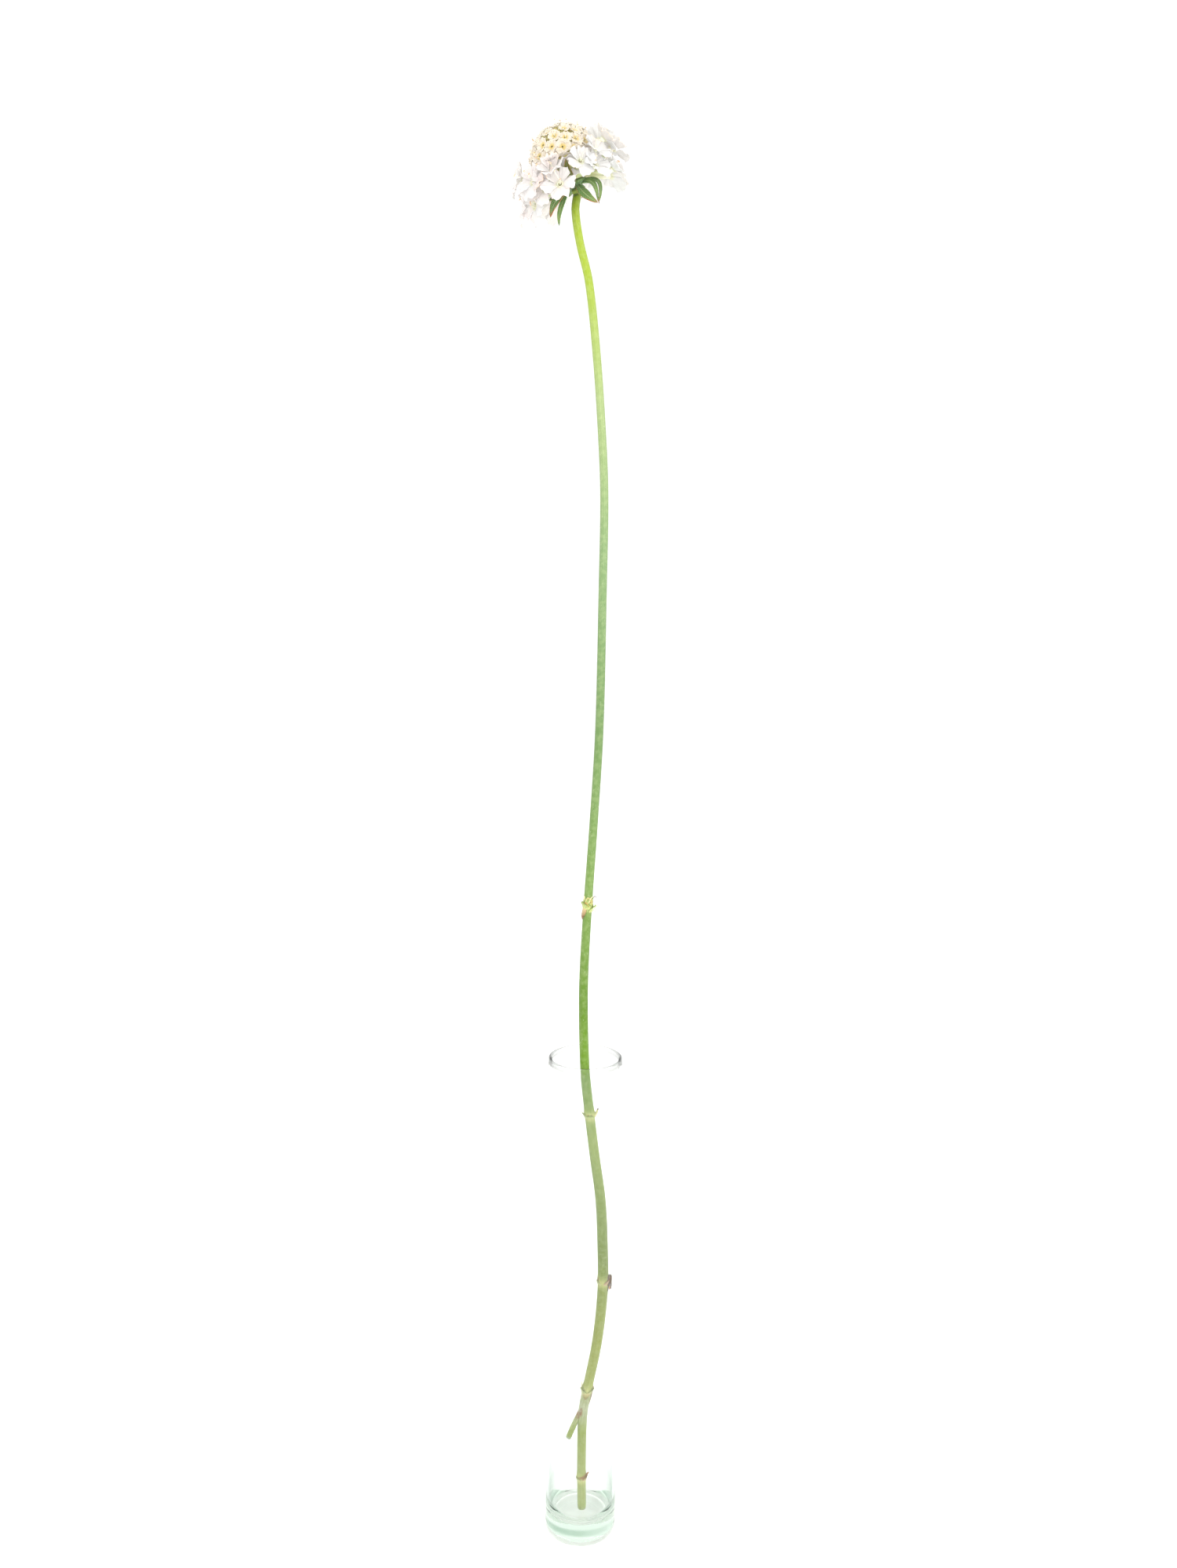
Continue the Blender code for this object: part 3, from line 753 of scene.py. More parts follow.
husk = Finish("leaf_scale", Roughness=0.6, Sheen_Weight=0.3, Specular_IOR_Level=0.3)
fade = (husk.stored("dry") + husk.noise(700.0) * 0.4 - 0.2).between(0.1, 0.9)
fresh = husk.mix(husk.stored("share"), FRESH_BASE, FRESH_TIP)
straw = husk.mix(husk.stored("share"), STRAW_BASE, STRAW_TIP)
stripes = (husk.stored("across") * SCALE_STRIPES).sine().between(-0.2, 0.9)
husk.set("Base Color", husk.mix(stripes * 0.22, husk.mix(fade, fresh, straw), STRIPE_BROWN))
husk.relief(stripes, 0.1 * MM)

scales.make("stem_scales", husk, "stem", SCALE_THICKNESS)
print("the scales are", SCALE_THICKNESS / MM, "mm thick")

# %% [markdown]
# Threads: curled straws, the bud and the hairs
#
# The top joint carries a tangle of curled straws, the second a short leaf stub with a purple tip, the
# third a dark bud that hangs, and the lower stem a coat of silver hairs. All of them are thin tubes.
# Blender's hair system would draw the coat faster, but hairs from it are no mesh, and this model has to
# be one. Nine hundred fine three-sided tubes look the same and cost little.

# %% Threads by their three control points
def thread(bunch, start, bend, end, thick, thin, sides=6, steps=9, **values):
    """A tapering tube on a curve. A point is its height in mm, its bearing, and mm off the stem's face."""
    places = []
    for height, turn, away in (start, bend, end):
        level = height * MM
        places.append(stem_point(level) + bearing(turn) * (stem_radius(level) + away * MM))
    radii = np.linspace(thick * MM, thin * MM, steps)
    bunch.add(sweep(bow(*places, steps), radii, sides), wrap=True, **values)


# Start, bend and end, each with a height, a bearing and a distance, then two radii in mm, and the shade.
THREADS = [
    ((395, -70, -0.2), (403, -60, 0.4), (398, -30, 1.0), 0.34, 0.18, 0.15),
    ((396, -30, -0.2), (402, -10, 0.9), (397, 22, 0.5), 0.32, 0.16, 0.3),
    ((396, 10, -0.2), (401, 30, 1.0), (399, 62, 0.6), 0.30, 0.16, 0.1),
    ((395, 40, -0.2), (400, 60, 0.8), (398.5, -10, 0.9), 0.28, 0.14, 0.4),
    ((395, -50, -0.2), (398, -20, 1.4), (394, 12, 0.7), 0.26, 0.14, 0.5),
    ((396, 130, -0.2), (403, 150, 0.8), (398, 190, 0.8), 0.32, 0.16, 0.3),
    ((398, 80, -0.2), (400.5, 88, 1.0), (398.5, 92, 2.0), 0.26, 0.14, 0.95),
    ((391, 84, 0.6), (397, 90, 3.4), (392, 92, 2.2), 0.20, 0.12, 0.1),
    ((392, 92, 2.2), (389, 92, 1.2), (388, 92, 2.0), 0.16, 0.10, 0.1),
    ((270, 84, -0.4), (271.5, 88, 0.9), (274.0, 90, 1.9), 0.85, 0.5, 0.2),
    ((273.8, 90, 1.8), (274.3, 90, 2.1), (274.9, 90, 2.3), 0.5, 0.25, 0.95),
    ((271, -84, -0.3), (272, -88, 0.6), (272.8, -90, 1.3), 0.34, 0.12, 0.2),
    ((164.6, 66, -0.4), (168.6, 72, 0.9), (170.4, 74, 0.5), 1.7, 1.0, 0.8),
    ((166.4, 84, -0.2), (165.4, 88, 1.3), (161.0, 88, 1.2), 0.95, 0.4, 0.8),
    ((163.0, 78, 0.1), (161.8, 82, 0.8), (160.4, 84, 0.7), 0.5, 0.2, 0.5),
    ((160, 66, 0.0), (165, 64, 0.5), (170, 60, 0.1), 0.3, 0.15, 0.9),
    ((96, 80, 0.0), (90, 86, 0.5), (84, 84, 0.05), 0.4, 0.16, 0.75),
    ((93, -80, 0.0), (97.5, -84, 0.9), (99.5, -86, 1.2), 0.5, 0.16, 0.25),
    ((34, 80, 0.0), (37, 86, 1.1), (36.0, 86, 1.5), 0.6, 0.3, 0.7),
]
threads = Bunch("shade")
for start, bend, end, thick, thin, shade in THREADS:
    thread(threads, start, bend, end, thick, thin, shade=shade)
print(len(THREADS), "straws, stubs and buds")

# %% The silver hairs
HAIRS = 900
HAIR_THICK = 0.04
HAIR_THIN = 0.015
HAIR_HEIGHTS = (16, 770)
HAIR_REACH = (0.45, 1.1)
HAIR_DRIFT = 10
HAIR_DROP = 1.0
DENSE_HEIGHTS = (76.0, 97.0)
DENSE_SHARE = 0.35
THIN_COAT_REACH = 0.6

hair_rng = random.Random(21)
hairs = Bunch()
for i in range(HAIRS):
    dense = i < HAIRS * DENSE_SHARE
    height = hair_rng.uniform(*(DENSE_HEIGHTS if dense else HAIR_HEIGHTS))
    turn = hair_rng.uniform(0, 360)
    reach = hair_rng.uniform(*HAIR_REACH) * (1 if dense else THIN_COAT_REACH)
    drift = hair_rng.uniform(-HAIR_DRIFT, HAIR_DRIFT)
    knee = (height - 0.3 * HAIR_DROP, turn + drift, 0.7 * reach)
    end = (height - HAIR_DROP, turn + drift, reach)
    thread(hairs, (height, turn, 0), knee, end, HAIR_THICK, HAIR_THIN, sides=3, steps=4)
print(HAIRS, "hairs")

# %% The threads' finishes
STRAW_COLOURS = [
    (0.0, srgb(232, 226, 190)),
    (0.3, srgb(208, 204, 140)),
    (0.55, srgb(206, 140, 70)),
    (0.8, srgb(104, 84, 60)),
    (1.0, srgb(70, 50, 50)),
]
SILVER_DARK = srgb(196, 206, 168)
SILVER_LIGHT = srgb(222, 226, 206)

straw_finish = Finish("straw", Roughness=0.6, Specular_IOR_Level=0.3)
straw_shade = straw_finish.stored("shade") + straw_finish.noise(800.0) * 0.2 - 0.1
straw_finish.set("Base Color", straw_finish.ramp(straw_shade, STRAW_COLOURS))
silver = Finish("silver_hair", Roughness=0.4, Sheen_Weight=0.4)
silver_tone = silver.noise(300.0).between(0.3, 0.7)
silver.set("Base Color", silver.mix(silver_tone, SILVER_DARK, SILVER_LIGHT))

threads.make("stem_straws", straw_finish, "stem")
hairs.make("stem_hairs", silver, "stem")
print("the straws go from pale to almost black in", len(STRAW_COLOURS), "stops")

# %% [markdown]
# The cup and its bracts
#
# Under the florets sits a small green cup, the involucre, with a ring of narrow leaves called bracts.
# Most hang down over the stem, and one stands up in the gap between the petals. Each is a blade on a
# curve from its root by way of a knee to its tip, wider in the middle, folded a little along its midrib,
# with a wavy edge.

# %% Where each bract goes
# Bearing of the root, the knee and the tip in the head's frame, the width, and how dry the tip is.
# Bearings are in degrees and lengths in mm.
BRACTS = [
    (25, (1.6, -12.1, -5.6), (7.3, -12.6, -11.6), 5.0, 0.55),
    (59, (12.2, -6.9, 1.9), (7.9, -9.4, -10.6), 3.6, 0.25),
    (87, (18.0, -0.8, 2.2), (8.6, -6.9, -11.1), 3.6, 0.3),
    (104, (12.0, 3.0, 3.0), (9.2, 1.5, -11.3), 3.2, 0.3),
    (138, (7.4, 8.2, 2.0), (2.4, 10.0, -5.0), 3.2, 0.3),
    (172, (1.4, 10.1, 1.5), (-3.4, 13.0, -1.6), 3.4, 0.2),
    (-150, (-5.5, 9.6, 1.5), (-11.0, 13.0, -0.8), 3.0, 0.4),
    (-118, (-9.0, 4.8, 1.5), (-16.0, 6.0, -0.6), 2.8, 0.3),
    (-47, (-14.1, -13.6, -1.6), (-18.1, -10.6, -8.9), 4.6, 0.6),
    (-42, (-14.2, -13.0, -7.4), (-15.2, -8.5, -14.3), 2.8, 0.1),
]
UPRIGHT_BEARING = -5
UPRIGHT_KNEE = np.array((-4.0, -19.5, 1.2)) * MM
UPRIGHT_TIP = np.array((-0.9, -20.0, 13.2)) * MM
UPRIGHT_WIDTH = 5.8 * MM
UPRIGHT_DRY = 0.4
print(len(BRACTS) + 1, "bracts")

# %% Blades for the bracts
CUP_TOP = 3.0 * MM
CUP_RADIUS = 7.6 * MM
UPRIGHT_ROOT_OUT = 0.7
UPRIGHT_ROOT_UP = 0.5
BRACT_FACING = np.array((0, -0.8, 0.35))
BRACT_ROOT = 0.45
BLADE_ROWS = 26
BLADE_COLUMNS = 13
BLADE_NECK = 0.45
BLADE_FOLD = 0.18
BLADE_WAVE = 0.10

bract_rng = random.Random(5)


def blade(bunch, root, knee, end, width, up, dry, olive=0.0):
    """A lance-shaped leaf, creased along its middle."""
    shares = np.linspace(0, 1, BLADE_ROWS)
    sides = np.linspace(-1, 1, BLADE_COLUMNS)
    phase = bract_rng.uniform(0, 6)
    rows = []
    for t in shares:
        centre = root * (1 - t) ** 2 + knee * (2 * t * (1 - t)) + end * t**2
        along = unit((knee - root) * (1 - t) + (end - knee) * t)
        across = unit(np.cross(along, up))
        half = width / 2 * (BLADE_NECK + math.sin(math.pi * t**0.8)) / (BLADE_NECK + 1) * (1 - 0.4 * t**4)
        half *= 1 - 0.92 * max(0.0, (t - 0.9) / 0.1) ** 2
        fold = BLADE_FOLD * half * np.abs(sides) ** 1.3
        wave = BLADE_WAVE * half * np.sin(11 * t + phase + 2 * sides) * np.abs(sides) ** 3
        face = unit(np.cross(across, along))
        rows.append(centre + sides[:, None] * across * half + (fold + wave)[:, None] * face)
    grid = moved(np.array(rows), HEAD)
    bunch.add(grid, share=shares[:, None], side=sides, dry=dry, tint=bract_rng.random(), olive=olive)


leaves = Bunch("share", "side", "dry", "tint", "olive")
for degrees, bract_knee, bract_tip, width, dry in BRACTS:
    way = bearing(degrees)
    bract_root = way * (BRACT_ROOT * CUP_RADIUS) + np.array((0, 0, BRACT_ROOT * CUP_TOP))
    knee_point, tip_point = np.array(bract_knee) * MM, np.array(bract_tip) * MM
    blade(leaves, bract_root, knee_point, tip_point, width * MM, way + BRACT_FACING, dry)
way = bearing(UPRIGHT_BEARING)
upright_root = way * (UPRIGHT_ROOT_OUT * CUP_RADIUS) + np.array((0, 0, UPRIGHT_ROOT_UP * CUP_TOP))
blade(leaves, upright_root, UPRIGHT_KNEE, UPRIGHT_TIP, UPRIGHT_WIDTH, way, UPRIGHT_DRY, olive=1.0)
print("each bract has", (BLADE_ROWS - 1) * (BLADE_COLUMNS - 1), "faces before it gets its thickness")

# %% The cup
CUP_RIBS = 14
CUP_RIB_DEPTH = 0.03
CUP_SIDES = 84
CUP_SIDE = [(3.6, 0.25), (4.9, 0.85), (6.4, 1.4), (7.3, 2.0), (7.5, 2.5), (7.1, 2.9)]
CUP_OUTLINE = [(0, 0), (2.5, 0), *CUP_SIDE, (0, 3)]


def in_metres(outline):
    return [(x * MM, z * MM) for x, z in outline]


def spun(outline, sides, ribs, depth):
    """A ribbed round form, in the head's frame."""
    turns = turns_round(sides)
    swell = 1 + depth * np.cos(ribs * turns)
    rows = []
    for x, z in outline:
        rows.append(np.stack((x * swell * np.cos(turns), x * swell * np.sin(turns), np.full(sides, z)), -1))
    return moved(np.array(rows), HEAD)


cup = spun(in_metres(CUP_OUTLINE), CUP_SIDES, CUP_RIBS, CUP_RIB_DEPTH)
cup_ribs = np.cos(CUP_RIBS * turns_round(CUP_SIDES))
cups = Bunch("share", "side", "dry", "tint", "olive")
cups.add(cup, wrap=True, share=down_rows(cup), side=cup_ribs, tint=0.5)
print("the cup has", CUP_RIBS, "ribs")

# %% [markdown]
# The bracts' finish
#
# The bracts are a darker and bluer green than the stem, with a pale midrib and fine side veins, and their
# tips and edges have dried to orange and brown. The stored share and side of each point give all of it:
# the midrib is where the side is near zero, and the veins are waves that slant forward from it.

# %% Green leaf with pale veins and a dry edge
BLUE_LEAF = srgb(66, 116, 66)
YELLOW_LEAF = srgb(98, 144, 62)
OLIVE_LEAF = srgb(86, 86, 0)
PALE_TIP = srgb(140, 160, 76)
DARK_PATCH = srgb(48, 88, 44)
PALE_VEIN = srgb(186, 206, 146)
DRY_ORANGE = srgb(200, 124, 70)
DRY_DARK = srgb(128, 72, 44)

leaf = Finish("bract_leaf", Roughness=0.5, Sheen_Weight=0.25, Subsurface_Weight=0.12, Subsurface_Scale=0.002)
off_middle = leaf.stored("side").absolute()
midrib = off_middle.between(0.17, 0.03)
slant = leaf.stored("share") * 70.0 - off_middle * 14.0
side_veins = slant.sine().between(0.55, 1.0) * off_middle.between(0.05, 0.3)
leaf_green = leaf.mix(leaf.stored("tint"), BLUE_LEAF, YELLOW_LEAF)
with_olive = leaf.mix(leaf.stored("olive"), leaf_green, OLIVE_LEAF)
plain_share = 1 - leaf.stored("olive") * 0.7
tipped = leaf.mix(leaf.stored("share").between(0.2, 1.0) * 0.4 * plain_share, with_olive, PALE_TIP)
patchy = leaf.mix(leaf.noise(260.0).between(0.35, 0.7) * 0.45 * plain_share, tipped, DARK_PATCH)
veined = leaf.mix((midrib * 0.7 + side_veins * 0.35) * plain_share, patchy, PALE_VEIN)
worn = leaf.stored("dry") * (leaf.stored("share").between(0.55, 1.05) + off_middle.between(0.8, 1.0))
browned = (worn + leaf.noise(500.0) * 0.3 - 0.15).between(0.3, 0.75)
leaf.set("Base Color", leaf.mix(browned, veined, leaf.mix(leaf.noise(220.0), DRY_ORANGE, DRY_DARK)))
leaf.relief(midrib + side_veins * 0.5 + leaf.noise(900.0) * 0.2, 0.25 * MM)
leaf.set("Roughness", 0.42 + leaf.noise(350.0) * 0.25)

BRACT_THICKNESS = 0.4 * MM
leaves.make("bract_blades", leaf, "bracts", BRACT_THICKNESS)
cups.make("bract_cup", leaf, "bracts")
print("the bracts are", BRACT_THICKNESS / MM, "mm thick")

# %% [markdown]
# How a floret is built
#
# A scabiosa head is a crowd of small flowers. Each is a tube that opens into five petals, of which the
# outermost is the largest. Every petal could be modelled by hand, but there are over three hundred. So
# one formula draws a petal as seen from its throat: how far out each point is, and in which direction.
# The outline is round with a small notch and a crimped edge. A few slow and fast waves ruffle it, and
# each petal lies partly over the next.

# %% The petal formula
THROAT = 0.13
PETALS = 5
PETAL_HALF_ANGLE = 43.0
ROUNDNESS = 0.34
NOTCH_DEPTH = 0.07
NOTCH_PLACE = 0.1
NOTCH_WIDTH = 0.2
SLOW_CRIMP = 0.028
FAST_CRIMP = 0.018
PETAL_OVERLAP = 0.3 * MM


def petal(length, direction, rows, columns, shape_rng, ruffle, bend, cup_up):
    """A petal in its floret's own frame, whose throat is at the origin and whose face looks up."""
    share = np.linspace(THROAT, 1, rows)[:, None]
    across = np.linspace(-1, 1, columns)[None, :]
    phases = [shape_rng.uniform(0, math.tau) for _ in range(5)]
    half = math.radians(PETAL_HALF_ANGLE) * (0.86 + 0.14 * share)
    angle = direction + across * half
    notch = NOTCH_DEPTH * np.exp(-(((across - NOTCH_PLACE) / NOTCH_WIDTH) ** 2))
    crimp = SLOW_CRIMP * np.sin(11 * across + phases[0]) + FAST_CRIMP * np.sin(23 * across + phases[1])
    margin = 1 - ROUNDNESS * np.abs(across) ** 2.6 - notch + crimp
    radius = length * share * (1 + (margin - 1) * share**1.6)
    height = bend * radius * share + cup_up * length * share * across**2
    height = height + ruffle * share**2 * (
        0.6 * np.sin(5 * across + phases[2])
        + 0.4 * np.sin(9 * across + 3 * share + phases[3])
        + 0.35 * np.sin(15 * across + phases[4]) * share
    )
    height = height + PETAL_OVERLAP * across * share
    return np.stack((radius * np.sin(angle), -radius * np.cos(angle), height), -1)


sample = petal(10 * MM, 0.0, 8, 8, random.Random(1), 0.5 * MM, 0.0, 0.0)
print("a petal 10 mm long is", round(float(np.ptp(sample[..., 0])) / MM, 1), "mm wide")

# %% [markdown]
# A bowl between the outer florets and the dome
#
# The outer florets and the cream dome are separate pieces, so they mustn't run through each other. An
# imaginary bowl in the head's frame parts them: petals of the outer florets are pushed out of it, and
# those of the dome are kept inside it. Each point takes a short way: down, or outwards where that isn't
# much longer.

# %% Keep to one side of the bowl
DISC_TOP = 12.0 * MM
BOWL_FLOOR_RADIUS = 9.0 * MM
BOWL_SLOPE = 0.42
BOWL_RADIUS = 19.3 * MM
BOWL_MARGIN = 0.5 * MM
# A point moves out while that way is less than this many times the way down.
OUTWARD_LIMIT = 1.6
NO_RADIUS = 1e-9


def bowl_height(radius):
    return DISC_TOP + GAP / 2 + BOWL_SLOPE * np.maximum(0, radius - BOWL_FLOOR_RADIUS)


def keep_outside(points):
    """Moves points in the head's frame out of the bowl, outwards or down."""
    radius = np.hypot(points[..., 0], points[..., 1])
    too_high = points[..., 2] - bowl_height(radius) + BOWL_MARGIN
    too_near = BOWL_RADIUS + BOWL_MARGIN - radius
    inside = (too_high > 0) & (too_near > 0)
    outwards = inside & (too_near < OUTWARD_LIMIT * too_high)
    grow = np.where(outwards, 1 + too_near / np.maximum(radius, 1 * MM), 1)
    drop = np.where(inside & ~outwards, too_high, 0)
    return np.stack((points[..., 0] * grow, points[..., 1] * grow, points[..., 2] - drop), -1)


def keep_inside(points):
    """Moves points in the head's frame into the bowl."""
    radius = np.hypot(points[..., 0], points[..., 1])
    wanted = np.minimum(radius, BOWL_RADIUS - BOWL_MARGIN)
    height = np.maximum(points[..., 2], bowl_height(wanted) + BOWL_MARGIN)
    shrink = wanted / np.maximum(radius, NO_RADIUS)
    return np.stack((points[..., 0] * shrink, points[..., 1] * shrink, height), -1)


print("the bowl is", round(float(bowl_height(BOWL_RADIUS)) / MM, 1), "mm above the stem's tip at its rim")

# %% [markdown]
# The white outer florets
#
# They stand in two loose rings round the dome, with a gap at the front right where the bracts show. A
# formula for a ring would make them too even, so each has its own line in a table, which is the plain
# model's table too: every floret lies over its own solid. Seeded chance adds the ruffles and small
# differences in length and bend. Where the two rings leave a gap, one would see the bare disc, so two
# rings of small single petals close it.

# %% Where each outer floret goes
# Bearing, height and reach of the throat, tilt of the face, length of the longest petal, height of the root.
# Angles are in degrees and lengths in mm.
RAYS = [
    (-21, 4.0, 23.5, 45, 10.8, 5.5),
    (-72, 0.2, 25.6, 16, 11.2, 5.5),
    (-98, 3.0, 27.6, 36, 11.2, 5.5),
    (-146, -0.4, 22.4, 30, 11.8, 5.5),
    (-178, 5.6, 23.3, 41, 11.1, 5.5),
    (148, 4.9, 23.0, 39, 11.2, 5.5),
    (112, 0.4, 22.8, 22, 11.6, 5.5),
    (76, 1.6, 23.2, 26, 11.6, 5.5),
    (-27, 12.0, 20.2, 60, 8.4, 7.5),
    (-60, 11.0, 23.4, 42, 10.7, 7.5),
    (-99, 16.0, 25.4, 48, 11.0, 7.5),
    (-140, 11.0, 23.8, 46, 10.5, 7.5),
    (176, 15.0, 22.6, 50, 10.5, 7.5),
    (122, 18.5, 26.5, 34, 11.0, 7.5),
    (94, 11.5, 26.0, 40, 10.8, 7.5),
    (36, 6.0, 22.0, 35, 9.8, 6.5),
    (50, 13.0, 21.4, 42, 9.8, 7.5),
    (76, 16.5, 24.0, 30, 10.0, 7.5),
    (-41, 11.0, 20.6, 40, 7.6, 7.5),
    (17, 10.0, 21.1, 30, 9.2, 7.5),
    (-46, 5.0, 22.8, 36, 9.0, 6.0),
]
# Two florets, given by their row in the table, haven't opened flat. Their petals rise by this much more.
HALF_OPEN = {8: 0.34, 18: 0.2}
print(len(RAYS), "outer florets, of which", len(HALF_OPEN), "are half open")

# %% A floret's frame, its tube and its stamens
TUBE_RIB_DEPTH = 0.06
FILAMENT_RADIUS = 0.17 * MM
ANTHER_RADII = np.array((0.15, 0.3, 0.35, 0.35, 0.3, 0.15)) * MM

ruffle_rng = random.Random(11)


def face_frame(degrees, tilt, twist):
    """A frame whose up looks out along a bearing, raised by the tilt."""
    way = Vector(bearing(degrees))
    normal = way * math.cos(tilt) + Vector((0, 0, math.sin(tilt)))
    up = Vector((0, 0, math.cos(tilt))) - way * math.sin(tilt)
    return Matrix((up.cross(normal), up, normal)).transposed().to_4x4() @ Matrix.Rotation(twist, 4, "Y")


def floret_tube(root, bend, throat, radii, sides, mouth):
    """A floret's ribbed tube, from its root to the mouth at its throat."""
    return sweep(bow(root, bend, throat, len(radii)), radii, sides, PETALS, TUBE_RIB_DEPTH, mouth)


def stamen(bunch, foot, way, length, side):
    """A filament that bows, with an anther across its tip, in the head's frame."""
    end = foot + way * length
    bend = foot + way * length * 0.55 + side * length * 0.12
    lean = unit(end - bend)
    across = unit(np.cross(lean, side) + 0.3 * side)
    half = ruffle_rng.uniform(0.55, 0.75) * MM
    filament = sweep(bow(foot, bend, end, 8), [FILAMENT_RADIUS] * 8, 5)
    anther_line = bow(end - across * half, end + lean * 0.2 * MM, end + across * half, len(ANTHER_RADII))
    anther = sweep(anther_line, ANTHER_RADII, 8)
    bunch.add(moved(filament, HEAD), wrap=True)
    bunch.add(moved(anther, HEAD), wrap=True, anther=1.0, tint=ruffle_rng.random())


print("an anther is", round(float(2 * ANTHER_RADII.max() / MM), 1), "mm thick")

# %% Place the outer florets
DISC_RADIUS = 11.0 * MM
RAY_TWIST = math.radians(12)
RAY_TUBE_RADIUS = 1.5 * MM
THROAT_DEPTH = 1.8 * MM
RAY_RUFFLE = 1.0 * MM
RAY_ROWS = 18
RAY_COLUMNS = 19
RAY_BEND = 0.14
RAY_BEND_SWING = 0.26
RAY_TUBE_RINGS = 10
RAY_TUBE_SIDES = 20
RAY_TUBE_BEND = 4 * MM
RAY_MOUTH = 2 * MM
TUBE_ROOT = 0.7
LONG_STAMEN = 7.5 * MM

rng = random.Random(7)
rays = Bunch("share", "across", "tint", "pink")
ray_tubes = Bunch("share", "pink")
ray_stamens = Bunch("anther", "tint")
along = np.linspace(THROAT, 1, RAY_ROWS)[:, None]
for number, (degrees, height, reach, tilt, lobe, root_height) in enumerate(RAYS):
    way = bearing(degrees)
    eye = (way * reach + np.array((0, 0, height))) * MM
    turn_frame = face_frame(degrees, math.radians(tilt), RAY_TWIST)
    place = Matrix.Translation(eye) @ turn_frame
    pink = float(np.clip(-way[0], 0, 1)) * ruffle_rng.uniform(0.4, 1.0)
    for k in range(PETALS):
        direction = k * math.tau / PETALS
        length = lobe * MM * (0.84 + 0.16 * math.cos(direction)) * ruffle_rng.uniform(0.96, 1.04)
        bend = RAY_BEND - RAY_BEND_SWING * math.cos(direction) + ruffle_rng.uniform(-0.05, 0.05)
        bend += HALF_OPEN.get(number, 0)
        cup_up = ruffle_rng.uniform(-0.05, 0.1)
        grid = petal(length, direction, RAY_ROWS, RAY_COLUMNS, ruffle_rng, RAY_RUFFLE, bend, cup_up)
        grid[..., 2] -= THROAT_DEPTH * (1 - (along - THROAT)) ** 3
        rays.add(
            moved(keep_outside(moved(grid, place)), HEAD),
            share=along,
            across=np.linspace(-1, 1, RAY_COLUMNS),
            tint=ruffle_rng.random(),
            pink=pink,
        )
    normal = np.array(turn_frame.col[2][:3])
    root = way * (DISC_RADIUS - 2.5 * MM) + np.array((0, 0, root_height * MM))
    throat = eye - normal * THROAT_DEPTH * 0.6
    radii = np.linspace(TUBE_ROOT * RAY_TUBE_RADIUS, 1.02 * RAY_TUBE_RADIUS, RAY_TUBE_RINGS)
    tube = floret_tube(root, throat - normal * RAY_TUBE_BEND, throat, radii, RAY_TUBE_SIDES, RAY_MOUTH)
    ray_tubes.add(moved(keep_outside(tube), HEAD), wrap=True, share=down_rows(tube), pink=pink)
    across_way = np.array(turn_frame.col[0][:3])
    if number % 3 == 0:
        out = unit(np.array(turn_frame.to_3x3() @ Vector((rng.uniform(-0.3, 0.3), 0.35, 1))))
        stamen(ray_stamens, throat - normal * MM, out, LONG_STAMEN, across_way)
    for _ in range(2):
        out = Vector((ruffle_rng.uniform(-0.35, 0.35), ruffle_rng.uniform(-0.1, 0.5), 1))
        out = unit(np.array(turn_frame.to_3x3() @ out))
        stamen(ray_stamens, throat - normal * MM, out, ruffle_rng.uniform(3.0, 5.5) * MM, across_way)
print("the outer florets have", len(RAYS) * PETALS, "petals")

# %% The disc that carries them
DISC_SIDES = 80
DISC_RIBS = 16
DISC_RIB_DEPTH = 0.03
DISC_TONE = 0.15
DISC_SIDE = [(8.6, 3.7), (10.4, 5.0), (11.0, 7.0), (10.8, 9.4), (9.6, 11.2)]
DISC_OUTLINE = [(0, 3.3), (6.0, 3.3), *DISC_SIDE, (7.6, 12), (0, 12)]

disc = spun(in_metres(DISC_OUTLINE), DISC_SIDES, DISC_RIBS, DISC_RIB_DEPTH)
ray_tubes.add(disc, wrap=True, share=DISC_TONE)
print("the disc is", 2 * max(x for x, _ in DISC_OUTLINE), "mm across")

# %% Small petals that close the gaps between the two rings
CLOSING_PETALS = 22
CLOSING_RIPPLE = 0.25 * MM
CLOSING_NOTCH = 1.3 * MM
CLOSING_ROWS = 12
CLOSING_NECK = 0.5
UPPER_RING = {"inner": 9.0 * MM, "length": 8.4 * MM, "width": 2.8 * MM}
UPPER_DROP = 1.1 * MM
LOWER_RING = {"inner": 9.8 * MM, "length": 6.8 * MM, "width": 2.6 * MM}
LOWER_HEIGHT = 9.0 * MM
LOWER_FALL = 4.6 * MM
SINGLE_COLUMNS = 11

closing_rng = random.Random(8)


def widening(share, neck):
    """How wide a single petal is along its length, from its neck to its full width of 1."""
    return neck + (1 - neck) * np.sin(0.6 * math.pi * share**0.8)


def laid_out(turn, reach, sideways, height):
    """Points in the head's frame, from how far out they are, how far sideways and how high."""
    out_way = np.array((math.cos(turn), math.sin(turn), 0.0))
    side_way = np.array((-math.sin(turn), math.cos(turn), 0.0))
    return reach[..., None] * out_way + sideways[..., None] * side_way + height[..., None] * (0, 0, 1)


